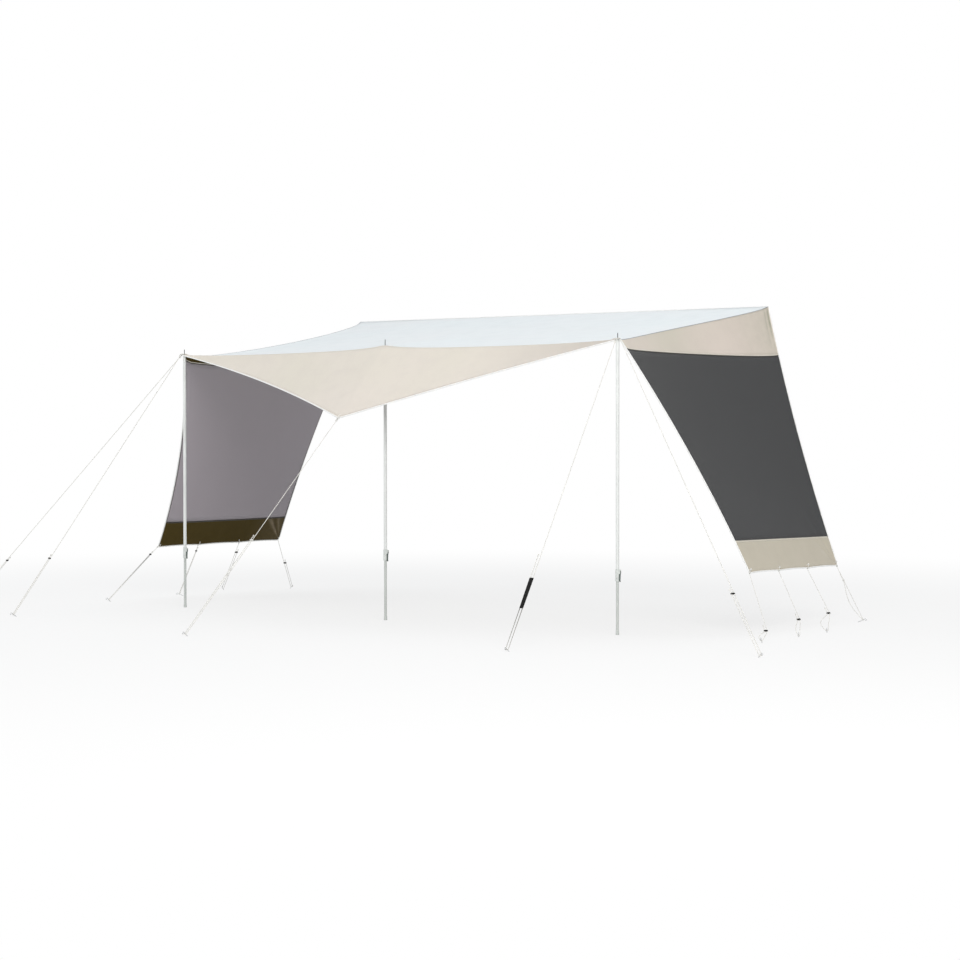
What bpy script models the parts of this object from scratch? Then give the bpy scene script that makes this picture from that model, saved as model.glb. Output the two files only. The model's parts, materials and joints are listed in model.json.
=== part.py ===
"""Caravan sun canopy: a roof sheet on three telescopic poles, with a front visor and two flared side panels.

Metres, +Z up. The origin is on the ground under the centre pole. +X runs along the row of poles to the
right, and +Y runs from the poles to the rail that holds the rear edge of the roof.
"""

import math

import bmesh
import bpy
from mathutils import Matrix, Vector

# Roof and row of poles
RAIL_HEIGHT = 2.45
RAIL_DEPTH = 2.25
RAIL_HALF = 2.10
POLE_OUTSIDE = 0.035
POLE_SPACING = RAIL_HALF + POLE_OUTSIDE
POLE_TOP_HEIGHTS = {"left": 2.09, "centre": 2.12, "right": 2.115}
BEADING_RADIUS = 0.0035
SEAM_AHEAD = 0.012
PAD_HALF = 0.014
ROOF_BELLY = 0.050
ROOF_EDGE_SAGS = {"left": 0.051, "right": 0.036}
SAG_FRONT_SHARES = {"left": 0.12, "right": -0.25}
SAG_END_SHARES = {"left": 0.38, "right": 0.55}
ROOF_EDGE_BOW = 0.150
EDGE_REACH_SHARE = 4.0
SEAM_DIP = 0.030
PEAK_REACH = 0.220
CORNER_REACH = 0.450

# Front visor
NOSE_FORWARD = 0.550
NOSE_HEIGHT = 1.565
NOSE_HALF_WIDTH = 0.022
VISOR_END_DROP = 0.004
VISOR_EDGE_BOW_BACK = 0.080
VISOR_EDGE_BOW_UP = 0.026
VISOR_BILLOW = 0.016
NEAR_EDGE_SHARE = 0.9

# Side panels
PANEL_FRONT_FLARE = 0.800
PANEL_REAR_FLARE = 0.760
PANEL_REAR_AHEAD = 0.275
PANEL_FRONT_OUT = POLE_SPACING + PANEL_FRONT_FLARE
PANEL_FRONT_BACK = 0.494
PANEL_REAR_OUT = RAIL_HALF + PANEL_REAR_FLARE
PANEL_REAR_BACK = RAIL_DEPTH - PANEL_REAR_AHEAD
PANEL_FRONT_HEIGHTS = {"left": 0.457, "right": 0.450}
PANEL_REAR_HEIGHTS = {"left": 0.462, "right": 0.428}
PANEL_FRONT_BOWS = {"left": 0.105, "right": 0.078}
PANEL_REAR_BOW = 0.068
PANEL_BILLOW = 0.020
GUSSET_FRONT_SHARES = {"left": 0.022, "right": 0.036}
GUSSET_REAR_SHARES = {"left": 0.190, "right": 0.192}
GUSSET_CURVE_SHARES = {"left": 0.009, "right": -0.002}
STRIP_FRONT_SHARE = 0.868
STRIP_REAR_SHARE = 0.893
HEM_SCALLOP = 0.006
CORNER_ROUND = 0.035

# Folds of the side panels: one pleat down from the rail, and two that run up from the rear of the hem
RAIL_PLEAT_DEPTH = 0.007
RAIL_PLEAT_AHEAD = 0.045
RAIL_PLEAT_WIDTH = 0.026
RAIL_PLEAT_REACH = 0.160
HEM_PLEAT_DEPTH = 0.010
HEM_PLEAT_REACH = 0.190
HEM_PLEAT_ANGLES = (0.46, 0.78)
HEM_PLEAT_SPREAD_ANGLE = 0.13

# Cloth
CLOTH = 0.0016
SEAM_INSET = 0.0008
FLAT_SEAM_INSET = 0.00015
CLEARANCE = 0.0003

# Poles
TUBE_RADIUS = 0.0125
TUBE_WALL = 0.0012
LOWER_TUBE_WALL = 0.0011
TUBE_OVERLAP = 0.480
CLAMP_HEIGHTS = {"left": 0.410, "centre": 0.460, "right": 0.385}
SPIKE_RADIUS = 0.0030
SPIKE_HEIGHT = 0.050
SPIKE_POINT = 0.006
SHOULDER_RADIUS = 0.0085
PLUG_DEPTH = 0.022
PLUG_TAPER = 0.006
FOOT_RADIUS = 0.0135
FOOT_HEIGHT = 0.032
FOOT_CHAMFER = 0.0025
FOOT_FLOOR = 0.006
TUBE_SIDES = 16
EYE_STEPS = 5
HOOK_STEPS = 4
BORE_SIDES = 8
BEADING_SIDES = 12

# Height clamps
CLAMP_LENGTH = 0.088
CLAMP_RADIUS = 0.0158
CLAMP_CHAMFER = 0.0020
EAR_THICKNESS = 0.0030
EAR_REACH = 0.0265
EAR_HEIGHT = 0.030
EAR_SINK = 0.0036
PIVOT_OUT = 0.0215
PIVOT_BELOW_TOP = 0.020
PIN_RADIUS = 0.0020
PIN_SIDES = 10
LEVER_LENGTH = 0.072
LEVER_WIDTH = 0.0110
LEVER_THICKNESS = 0.0075
LEVER_TIP_THICKNESS = 0.0045
LEVER_TIP_FLARE = 0.0050
LEVER_HEAD_STEPS = 6

# Ropes, runners and pegs
GUY_RADIUS = 0.0025
PANEL_CORD_RADIUS = 0.0020
GUY_LOOP_RADIUS = 0.0104
CORD_LOOP_RADIUS = 0.0084
GUY_EYE_RADIUS = 0.0100
CORD_EYE_RADIUS = 0.0080
EYE_BEND_START = 0.0235
EYE_BEND_RADIUS = 0.0120
EYE_STAGGER = 0.0040
EYE_END_SHARES = ((3.3, 0.62), (1.8, 0.92))
EYE_RUN_SHARES = ((1.5, -0.72), (2.9, -0.14), (3.9, 0.0))
CORD_SEAT_GAP = 0.0005
KNOT_LENGTH = 0.012
KNOT_SWELL_SHARE = 2.0
KNOT_SHARES = (0.25, 0.75, 1.0)
PEG_LOOP_HEIGHT = 0.013
PEG_RADIUS = 0.0030
PEG_RISE = 0.020
PEG_HOOK_RADIUS = 0.0065
PEG_TIP = 0.005
RUNNER_THICKNESS = 0.0080
RUNNER_HEIGHT = 0.0130
RUNNER_BORE_GAP = 0.0005
SLEEVE_LENGTH = 0.235
SLEEVE_TAPER_SHARE = 0.55
EYELET_UP = 0.021
EYELET_RADIUS = 0.0034
EYELET_SIDES = 12
OVERRUN = 0.020

# Points on the ground where the ropes turn round their pegs
GUY_GROUND = {
    "left_side": (-4.05, -0.62),
    "left_front": (-2.56, -1.489),
    "nose": (-0.272, -1.923),
    "right_front": (2.234, -1.476),
    "right_side": (3.775, -0.816),
}
PANEL_GROUND = {
    "left_1": (-3.093, 0.055),
    "left_2": (-3.088, 0.904),
    "left_3": (-3.310, 1.697),
    "left_4": (-2.938, 2.232),
    "right_1": (3.279, 0.069),
    "right_2": (3.276, 0.611),
    "right_3": (3.264, 1.055),
    "right_4": (3.058, 2.022),
}
HEM_LOOP_SHARES = (0.012, 0.326, 0.652, 0.988)

# Distance from the ground end of each rope to its runner, and from the runner up to the stopper knot
RUNNER_UP = {
    "left_side": 0.480,
    "left_front": 0.540,
    "nose": 0.880,
    "right_front": 0.440,
    "right_side": 0.500,
    "left_1": 0.550,
    "left_2": 0.422,
    "left_3": 0.521,
    "left_4": 0.270,
    "right_1": 0.103,
    "right_2": 0.159,
    "right_3": 0.189,
    "right_4": 0.340,
}
TAIL_LENGTHS = {
    "right_front": 0.300,
    "nose": 0.040,
    "right_1": 0.050,
    "right_2": 0.050,
    "right_3": 0.050,
    "right_4": 0.050,
}
DEFAULT_TAIL = 0.030
RUNNER_SWAY = {"right_1": -0.046, "right_2": -0.038, "right_3": -0.056}
RETURN_SLACK = {
    "right_1": (-0.020, -0.014, 0.0),
    "right_2": (-0.012, -0.009, 0.0),
    "right_3": (-0.036, -0.028, 0.0),
    "right_4": (-0.026, -0.019, -0.010),
}
SLACK_SHARES = ((0.22, 0.66), (0.48, 1.0), (0.76, 0.62))
STRAND_LEAD = 0.004
PALE_RUNNERS = ("nose", "right_4")
CORNER_GUYS = (
    ("left_side", "left", 0),
    ("left_front", "left", 1),
    ("right_front", "right", 0),
    ("right_side", "right", 1),
)

COLUMN_SHARES = (0.0, 0.06, 0.14, 0.26, 0.42, 0.60, 0.76, 0.88, 0.95, 1.0)
ROW_SHARES = (0.0, 0.08, 0.18, 0.30, 0.43, 0.56, 0.68, 0.78, 0.85, 0.885, 0.915, 0.945, 0.975, 1.0)
VISOR_ROWS = 6
GUSSET_ROWS = 5
MESH_ROWS = 8
STRIP_ROWS = 4
SIDES = {"left": -1.0, "right": 1.0}
POLE_X = {"left": -POLE_SPACING, "centre": 0.0, "right": POLE_SPACING}
TUBE_BORE = TUBE_RADIUS - TUBE_WALL
LOWER_TUBE_RADIUS = TUBE_BORE - CLEARANCE


def clear_scene():
    for item in list(bpy.data.objects):
        bpy.data.objects.remove(item, do_unlink=True)


def new_collection(name):
    group = bpy.data.collections.new(name)
    bpy.context.scene.collection.children.link(group)
    return group


def finish_material(name, colour, roughness, metallic=0.0, alpha=1.0):
    finish = bpy.data.materials.new(name)
    finish.use_nodes = True
    shader = finish.node_tree.nodes["Principled BSDF"]
    shader.inputs["Base Color"].default_value = (*colour, 1.0)
    shader.inputs["Roughness"].default_value = roughness
    shader.inputs["Metallic"].default_value = metallic
    shader.inputs["Alpha"].default_value = alpha
    return finish


def add_mesh_object(name, mesh, finish, group):
    item = bpy.data.objects.new(name, mesh)
    item.data.materials.clear()
    if finish is not None:
        item.data.materials.append(finish)
    group.objects.link(item)
    return item


def clamp01(value):
    return min(1.0, max(0.0, value))


def mix(first, second, share):
    return first + (second - first) * share


def arch(share):
    """A parabola that is 0 at both ends and 1 half way."""
    return 4.0 * share * (1.0 - share)


def bell(offset, width):
    return math.exp(-((offset / width) ** 2))


def swell(distance, reach):
    """Grows from 0, is 1 at the reach, and dies away past it."""
    return distance / reach * math.exp(1.0 - distance / reach)


def side_of(across):
    return "left" if across < 0.0 else "right"


# Roof surface

def pole_line_height(across):
    """Height of the seam between roof and visor, drawn down between the pole tops."""
    middle = POLE_TOP_HEIGHTS["centre"]
    corner = POLE_TOP_HEIGHTS[side_of(across)]
    from_peak = max(0.0, abs(across) - PAD_HALF)
    from_corner = max(0.0, POLE_SPACING - PAD_HALF - abs(across))
    line = mix(middle, corner, clamp01(from_peak / (from_peak + from_corner)))
    dip = SEAM_DIP * (1.0 - math.exp(-from_peak / PEAK_REACH)) * (1.0 - math.exp(-from_corner / CORNER_REACH))
    return line - dip


def roof_columns():
    """Places across the row of poles, with a flat pad over each pole top."""
    first = PAD_HALF
    last = POLE_SPACING - PAD_HALF
    half = [mix(first, last, share) for share in COLUMN_SHARES] + [POLE_SPACING + PAD_HALF]
    return [-across for across in reversed(half)] + half


def roof_rows():
    """Places back from the poles, as shares of the depth behind the flat pads, after the pad's own row."""
    return [None] + list(ROW_SHARES)


def rear_edge():
    return RAIL_DEPTH - BEADING_RADIUS - CLEARANCE


def roof_point(across, row):
    front_half = POLE_SPACING + PAD_HALF
    share_across = across / front_half
    height = pole_line_height(across)
    if row is None:
        return Vector((across, -SEAM_AHEAD, height))
    back = mix(PAD_HALF, rear_edge(), row)
    fading = (1.0 - row) ** 2
    side = side_of(across)
    straight = mix(POLE_TOP_HEIGHTS["centre"], POLE_TOP_HEIGHTS[side], abs(share_across) ** 2)
    front_height = mix(straight, height, fading)
    half = mix(front_half, RAIL_HALF, row) - ROOF_EDGE_BOW * arch(row)
    lean = 1.0 + SAG_FRONT_SHARES[side] * (1.0 - 2.0 * row)
    edge_sag = ROOF_EDGE_SAGS[side] * arch(row) ** SAG_END_SHARES[side] * lean
    sag = mix(ROOF_BELLY * arch(row), edge_sag, abs(share_across) ** EDGE_REACH_SHARE)
    return Vector((share_across * half, back, mix(front_height, RAIL_HEIGHT, row) - sag))


# Front visor surface

def visor_point(across, share_down):
    reach = clamp01((POLE_SPACING - abs(across)) / (POLE_SPACING - PAD_HALF))
    sign = -1.0 if across < 0.0 else 1.0
    top = Vector((across, -SEAM_AHEAD, pole_line_height(across)))
    corner_height = pole_line_height(sign * POLE_SPACING)
    corner = Vector((sign * POLE_SPACING, -SEAM_AHEAD - VISOR_END_DROP / 2.0, corner_height - VISOR_END_DROP))
    nose = Vector((sign * NOSE_HALF_WIDTH, -NOSE_FORWARD, NOSE_HEIGHT))
    edge = corner.lerp(nose, reach)
    edge += Vector((0.0, VISOR_EDGE_BOW_BACK, VISOR_EDGE_BOW_UP)) * arch(reach)
    point = top.lerp(edge, share_down)
    point.z -= VISOR_BILLOW * arch(share_down) * arch(reach)
    return point


# Side panel surface

def panel_top(sign, row):
    return roof_point(sign * (POLE_SPACING + PAD_HALF), row)


def panel_corner(sign, rear):
    out = PANEL_REAR_OUT if rear else PANEL_FRONT_OUT
    back = PANEL_REAR_BACK if rear else PANEL_FRONT_BACK
    heights = PANEL_REAR_HEIGHTS if rear else PANEL_FRONT_HEIGHTS
    return Vector((sign * out, back, heights[side_of(sign)]))


def panel_runs(sign):
    """Lengths of the panel's rear edge, its top edge and its hem."""
    top_front = panel_top(sign, 0.0)
    top_rear = panel_top(sign, 1.0)
    front = panel_corner(sign, False)
    rear = panel_corner(sign, True)
    return (rear - top_rear).length, (top_rear - top_front).length, (rear - front).length


def rounded(row, share_down, row_round, down_round):
    """Carries the square corner at the rear of the hem over to a quarter of a circle."""
    along = (row - 1.0 + row_round) / row_round
    down = (share_down - 1.0 + down_round) / down_round
    if along <= 0.0 or down <= 0.0:
        return row, share_down
    new_along = along * math.sqrt(1.0 - down * down / 2.0)
    new_down = down * math.sqrt(1.0 - along * along / 2.0)
    return 1.0 + row_round * (new_along - 1.0), 1.0 + down_round * (new_down - 1.0)


def hem_scallop(row):
    """How far the hem is drawn up between two of its eyelets, as a share of the scallop."""
    for first, second in zip(HEM_LOOP_SHARES, HEM_LOOP_SHARES[1:]):
        if first < row < second:
            return arch((row - first) / (second - first))
    return 0.0


def panel_point(sign, row, share_down):
    """A blended patch between the roof's side edge, the two bowed free edges and the scalloped hem."""
    drop, _, hem_run = panel_runs(sign)
    row, share_down = rounded(row, share_down, CORNER_ROUND / hem_run, CORNER_ROUND / drop)
    low = clamp01((share_down - strip_share(row)) / (1.0 - strip_share(row)))
    share_down -= HEM_SCALLOP / drop * hem_scallop(row) * low * low
    top = panel_top(sign, row)
    bottom = panel_corner(sign, False).lerp(panel_corner(sign, True), row)
    point = top.lerp(bottom, share_down)
    point.y += (1.0 - row) * PANEL_FRONT_BOWS[side_of(sign)] * arch(share_down)
    point.y -= row * PANEL_REAR_BOW * arch(share_down)
    point.x -= sign * PANEL_BILLOW * arch(share_down) * arch(row)
    point.x -= sign * panel_pleats(sign, row, share_down)
    return point


def panel_pleats(sign, row, share_down):
    """Depth of the folds, towards the sheltered side."""
    drop, top_run, hem_run = panel_runs(sign)
    down = drop * share_down
    up = drop - down
    ahead = mix(top_run, hem_run, share_down) * (1.0 - row)
    rail_pleat = RAIL_PLEAT_DEPTH * swell(down, RAIL_PLEAT_REACH)
    rail_pleat *= bell(ahead - RAIL_PLEAT_AHEAD, RAIL_PLEAT_WIDTH)
    ridges = sum(bell(math.atan2(ahead, up) - angle, HEM_PLEAT_SPREAD_ANGLE) for angle in HEM_PLEAT_ANGLES)
    return rail_pleat + HEM_PLEAT_DEPTH * swell(math.hypot(up, ahead), HEM_PLEAT_REACH) * ridges


def gusset_share(sign, row):
    side = side_of(sign)
    straight = mix(GUSSET_FRONT_SHARES[side], GUSSET_REAR_SHARES[side], row)
    return straight + GUSSET_CURVE_SHARES[side] * arch(row)


def strip_share(row):
    return mix(STRIP_FRONT_SHARE, STRIP_REAR_SHARE, row)


# Sheets

def add_sheet(name, points, finish, group):
    """A sheet of cloth: a grid pulled to the points of its middle surface, given its thickness."""
    columns = len(points) - 1
    rows = len(points[0]) - 1
    work = bmesh.new()
    bmesh.ops.create_grid(work, x_segments=columns, y_segments=rows, size=1.0)
    for vertex in work.verts:
        column = round((vertex.co.x + 1.0) / 2.0 * columns)
        row = round((vertex.co.y + 1.0) / 2.0 * rows)
        vertex.co = points[column][row]
    bmesh.ops.triangulate(work, faces=work.faces[:])
    bmesh.ops.recalc_face_normals(work, faces=work.faces[:])
    mesh = bpy.data.meshes.new(name)
    work.to_mesh(mesh)
    work.free()
    sheet = add_mesh_object(name, mesh, finish, group)
    body = sheet.modifiers.new("Thickness", "SOLIDIFY")
    body.thickness = CLOTH
    body.offset = 0.0
    sheet.data.shade_smooth()
    return sheet


def inset_line(points, inset_first, inset_last):
    """Draws the two ends of a row of points in along the row, by half the gap of each seam."""
    first = points[0] + (points[1] - points[0]).normalized() * inset_first
    last = points[-1] + (points[-2] - points[-1]).normalized() * inset_last
    return [first] + points[1:-1] + [last]


def add_roof(finish, group):
    stations = roof_columns()
    rows = roof_rows()
    columns = []
    for across in stations:
        columns.append(inset_line([roof_point(across, row) for row in rows], SEAM_INSET, 0.0))
    for row in range(len(rows)):
        line = inset_line([column[row] for column in columns], SEAM_INSET, SEAM_INSET)
        for column, point in zip(columns, line):
            column[row] = point
    return add_sheet("roof_sheet", columns, finish, group)


def add_visor(finish, group):
    stations = [across for across in roof_columns() if abs(across) < POLE_SPACING]
    columns = []
    for across in [-POLE_SPACING] + stations + [POLE_SPACING]:
        line = [visor_point(across, row / VISOR_ROWS) for row in range(VISOR_ROWS + 1)]
        columns.append(inset_line(line, SEAM_INSET, 0.0))
    return add_sheet("front_visor", columns, finish, group)


def panel_columns(sign, top_shares, bottom_shares, rows, inset_top, inset_bottom):
    columns = []
    for row, top_share, bottom_share in zip(ROW_SHARES, top_shares, bottom_shares):
        line = []
        for step in range(rows + 1):
            line.append(panel_point(sign, row, mix(top_share, bottom_share, step / rows)))
        columns.append(inset_line(line, inset_top, inset_bottom))
    return columns


def add_side_panel(side, sign, finishes, group):
    flat = FLAT_SEAM_INSET
    top = [0.0 for row in ROW_SHARES]
    seam = [gusset_share(sign, row) for row in ROW_SHARES]
    hem_seam = [strip_share(row) for row in ROW_SHARES]
    hem = [1.0 for row in ROW_SHARES]
    gusset = panel_columns(sign, top, seam, GUSSET_ROWS, SEAM_INSET, flat)
    mesh = panel_columns(sign, seam, hem_seam, MESH_ROWS, flat, flat)
    strip = panel_columns(sign, hem_seam, hem, STRIP_ROWS, flat, 0.0)
    add_sheet("gusset_" + side, gusset, finishes["gusset"], group)
    add_sheet("mesh_panel_" + side, mesh, finishes["mesh"], group)
    return add_sheet("hem_strip_" + side, strip, finishes["strip"], group)


def cut(item, cutter):
    opening = item.modifiers.new("Opening", "BOOLEAN")
    opening.operation = "DIFFERENCE"
    opening.object = cutter


def join(item, other):
    union = item.modifiers.new("Join", "BOOLEAN")
    union.operation = "UNION"
    union.object = other


def guide_cylinder(name, radius, start, end, sides, guides):
    """A hidden cylinder between two points, for cutting or joining."""
    axis = end - start
    work = bmesh.new()
    bmesh.ops.create_cone(
        work, cap_ends=True, segments=sides, radius1=radius, radius2=radius, depth=axis.length
    )
    turn = axis.to_track_quat("Z", "Y").to_matrix().to_4x4()
    work.transform(Matrix.Translation((start + end) / 2.0) @ turn)
    mesh = bpy.data.meshes.new(name)
    work.to_mesh(mesh)
    work.free()
    item = add_mesh_object(name, mesh, None, guides)
    item.display_type = "WIRE"
    item.hide_render = True
    return item


def turned(name, profile, finish, group):
    """A solid of revolution about Z. The profile runs down its outer side."""
    work = bmesh.new()
    closed = profile[0] == profile[-1]
    outline = profile[:-1] if closed else profile
    corners = [work.verts.new((radius, 0.0, height)) for radius, height in outline]
    following = corners[1:] + corners[:1] if closed else corners[1:]
    for first, second in zip(corners, following):
        work.edges.new((first, second))
    mesh = bpy.data.meshes.new(name)
    work.to_mesh(mesh)
    work.free()
    item = add_mesh_object(name, mesh, finish, group)
    lathe = item.modifiers.new("Turn", "SCREW")
    lathe.steps = TUBE_SIDES
    lathe.render_steps = TUBE_SIDES
    lathe.use_merge_vertices = True
    lathe.merge_threshold = 0.00005
    lathe.use_smooth_shade = True
    return item


def cut_plate(name, outline, holes, thickness, finish, group):
    """A flat piece: an outline with round holes, lying in XY and centred on its thickness."""
    flat = bpy.data.curves.new(name + "_outline", "CURVE")
    flat.dimensions = "2D"
    flat.fill_mode = "BOTH"
    flat.extrude = thickness / 2.0
    for loop in [outline] + holes:
        spline = flat.splines.new("POLY")
        spline.points.add(len(loop) - 1)
        for point, (first, second) in zip(spline.points, loop):
            point.co = (first, second, 0.0, 1.0)
        spline.use_cyclic_u = True
    shape = bpy.data.objects.new(name + "_outline", flat)
    group.objects.link(shape)
    solid = solid_from(shape, name, finish, group)
    return solid


def solid_from(shape, name, finish, group):
    """Turns a curve object into a welded mesh object of the same place, and removes the curve."""
    view = bpy.context.evaluated_depsgraph_get()
    mesh = bpy.data.meshes.new_from_object(shape.evaluated_get(view))
    mesh.name = name
    work = bmesh.new()
    work.from_mesh(mesh)
    bmesh.ops.remove_doubles(work, verts=work.verts[:], dist=0.00001)
    bmesh.ops.recalc_face_normals(work, faces=work.faces[:])
    work.to_mesh(mesh)
    work.free()
    solid = add_mesh_object(name, mesh, finish, group)
    solid.matrix_world = shape.matrix_world.copy()
    bpy.data.objects.remove(shape, do_unlink=True)
    return solid


def round_outline(half_length, half_height, centre, points_per_end):
    """A stadium outline with its long side along the first axis."""
    straight = half_length - half_height
    loop = []
    for end, start in ((1.0, -90.0), (-1.0, 90.0)):
        for step in range(points_per_end + 1):
            angle = math.radians(start + 180.0 * step / points_per_end)
            first = centre + end * straight + half_height * math.cos(angle)
            loop.append((first, half_height * math.sin(angle)))
    return loop


def circle_outline(centre_first, centre_second, radius, sides):
    loop = []
    for step in range(sides):
        angle = math.tau * (step + 0.5) / sides
        loop.append((centre_first + radius * math.cos(angle), centre_second + radius * math.sin(angle)))
    return loop


# Poles

def shoulder_height(place):
    """Top of the plug that the roof's flat pad lies on."""
    return POLE_TOP_HEIGHTS[place] - CLOTH / 2.0 - CLEARANCE


def add_pole(place, finishes, group, guides):
    across = POLE_X[place]
    base = bpy.data.objects.new("pole_axis_" + place, None)
    base.location = (across, 0.0, 0.0)
    base.hide_render = True
    guides.objects.link(base)
    shoulder = shoulder_height(place)
    tube_top = shoulder - PLUG_TAPER
    clamp_low = CLAMP_HEIGHTS[place]
    tube_low = clamp_low + CLAMP_LENGTH / 2.0
    tip = shoulder + SPIKE_HEIGHT
    upper = turned(
        "pole_upper_" + place,
        [
            (0.0, tip),
            (SPIKE_RADIUS, tip - SPIKE_POINT),
            (SPIKE_RADIUS, shoulder),
            (SHOULDER_RADIUS, shoulder),
            (TUBE_RADIUS, tube_top),
            (TUBE_RADIUS, tube_low),
            (TUBE_BORE, tube_low),
            (TUBE_BORE, tube_top - PLUG_DEPTH),
            (0.0, tube_top - PLUG_DEPTH),
        ],
        finishes["tube"],
        group,
    )
    lower_top = clamp_low + TUBE_OVERLAP
    inner = LOWER_TUBE_RADIUS - LOWER_TUBE_WALL
    lower = turned(
        "pole_lower_" + place,
        [
            (0.0, FOOT_FLOOR),
            (inner, FOOT_FLOOR),
            (inner, lower_top),
            (LOWER_TUBE_RADIUS, lower_top),
            (LOWER_TUBE_RADIUS, FOOT_HEIGHT),
            (FOOT_RADIUS - FOOT_CHAMFER / 2.0, FOOT_HEIGHT - FOOT_CHAMFER),
            (FOOT_RADIUS, FOOT_CHAMFER),
            (FOOT_RADIUS - FOOT_CHAMFER, 0.0),
            (0.0, 0.0),
        ],
        finishes["lower_tube"],
        group,
    )
    body = add_clamp_body(place, clamp_low, tube_low, finishes["clamp"], group, guides, base)
    lever = add_clamp_lever(place, clamp_low, finishes["lever"], group)
    for piece in (upper, lower, body, lever):
        piece.parent = base
    return base


def pivot_height(clamp_low):
    return clamp_low + CLAMP_LENGTH - PIVOT_BELOW_TOP


def add_clamp_body(place, clamp_low, tube_low, finish, group, guides, base):
    clamp_top = clamp_low + CLAMP_LENGTH
    wide = TUBE_RADIUS + CLEARANCE
    narrow = LOWER_TUBE_RADIUS + CLEARANCE
    step = tube_low - CLEARANCE
    body = turned(
        "clamp_body_" + place,
        [
            (wide, step),
            (wide, clamp_top),
            (CLAMP_RADIUS - CLAMP_CHAMFER, clamp_top),
            (CLAMP_RADIUS, clamp_top - CLAMP_CHAMFER),
            (CLAMP_RADIUS, clamp_low + CLAMP_CHAMFER),
            (CLAMP_RADIUS - CLAMP_CHAMFER, clamp_low),
            (narrow, clamp_low),
            (narrow, step),
            (wide, step),
        ],
        finish,
        group,
    )
    pivot = pivot_height(clamp_low)
    gap = LEVER_WIDTH / 2.0 + CLEARANCE
    for sign in (-1.0, 1.0):
        ear = ear_guide("clamp_ear_" + place, pivot, sign * (gap + EAR_THICKNESS / 2.0), guides)
        ear.parent = base
        join(body, ear)
    outside = gap + EAR_THICKNESS / 2.0
    pin = guide_cylinder(
        "clamp_pin_" + place,
        PIN_RADIUS,
        Vector((PIVOT_OUT, -outside, pivot)),
        Vector((PIVOT_OUT, outside, pivot)),
        PIN_SIDES,
        guides,
    )
    pin.parent = base
    join(body, pin)
    return body


def ear_guide(name, pivot, across, guides):
    """One ear of the clamp, rooted in the collar and standing out past the lever's pin."""
    root = CLAMP_RADIUS - EAR_SINK
    work = bmesh.new()
    bmesh.ops.create_cube(work, size=1.0)
    size = Vector((EAR_REACH - root, EAR_THICKNESS, EAR_HEIGHT))
    work.transform(
        Matrix.Translation(((EAR_REACH + root) / 2.0, across, pivot)) @ Matrix.Diagonal((*size, 1.0))
    )
    edges = [
        edge for edge in work.edges
        if all(vertex.co.x > (EAR_REACH + root) / 2.0 for vertex in edge.verts)
        and abs(edge.verts[0].co.y - edge.verts[1].co.y) > EAR_THICKNESS / 2.0
    ]
    bmesh.ops.bevel(
        work, geom=edges, offset=(EAR_REACH - PIVOT_OUT), segments=2, profile=0.5, affect="EDGES"
    )
    mesh = bpy.data.meshes.new(name)
    work.to_mesh(mesh)
    work.free()
    ear = add_mesh_object(name, mesh, None, guides)
    ear.display_type = "WIRE"
    ear.hide_render = True
    return ear


def add_clamp_lever(place, clamp_low, finish, group):
    """The cam lever, closed down along the collar. Its own origin is the pin's axis."""
    half = LEVER_THICKNESS / 2.0
    inner_face = -half
    outline = []
    for step in range(LEVER_HEAD_STEPS + 1):
        angle = math.radians(180.0 * step / LEVER_HEAD_STEPS)
        outline.append((half * math.cos(angle), half * math.sin(angle)))
    outline.append((inner_face, -LEVER_LENGTH + LEVER_TIP_FLARE))
    outline.append((inner_face + LEVER_TIP_FLARE - LEVER_TIP_THICKNESS / 2.0, -LEVER_LENGTH))
    outline.append((inner_face + LEVER_TIP_FLARE + LEVER_TIP_THICKNESS / 2.0, -LEVER_LENGTH))
    outline.append((inner_face + LEVER_TIP_THICKNESS, -LEVER_LENGTH + 2.0 * LEVER_TIP_FLARE))
    hole = circle_outline(0.0, 0.0, PIN_RADIUS + CLEARANCE, PIN_SIDES)
    lever = cut_plate("clamp_lever_" + place, outline, [hole], LEVER_WIDTH, finish, group)
    lever.rotation_euler = (math.radians(90.0), 0.0, 0.0)
    lever.location = (PIVOT_OUT, 0.0, pivot_height(clamp_low))
    return lever


# Ropes

def eye_route(radius, seat):
    """A teardrop eye in its own plane: along the rope and across it. The eye turns round (0, 0)."""
    centre = radius - seat
    route = [(centre + along * radius, aside * radius) for along, aside in EYE_END_SHARES]
    for step in range(EYE_STEPS + 1):
        angle = math.radians(90.0 + 180.0 * step / EYE_STEPS)
        route.append((centre + radius * math.cos(angle), radius * math.sin(angle)))
    route += [(centre + along * radius, aside * radius) for along, aside in EYE_RUN_SHARES]
    return route


def add_rope(name, points, radius, knot_radii, finish, group):
    path = bpy.data.curves.new(name, "CURVE")
    path.dimensions = "3D"
    path.bevel_depth = radius
    path.bevel_resolution = 2
    path.use_fill_caps = True
    spline = path.splines.new("POLY")
    spline.points.add(len(points) - 1)
    for index, (point, place) in enumerate(zip(spline.points, points)):
        point.co = (*place, 1.0)
        from_end = len(points) - 1 - index
        point.radius = knot_radii[from_end] if from_end < len(knot_radii) else 1.0
    rope = bpy.data.objects.new(name, path)
    rope.data.materials.append(finish)
    group.objects.link(rope)
    return rope


def lateral_of(run):
    """Level direction square to a rope, from its first strand to its return strand."""
    return run.cross(Vector((0.0, 0.0, 1.0))).normalized()


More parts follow.
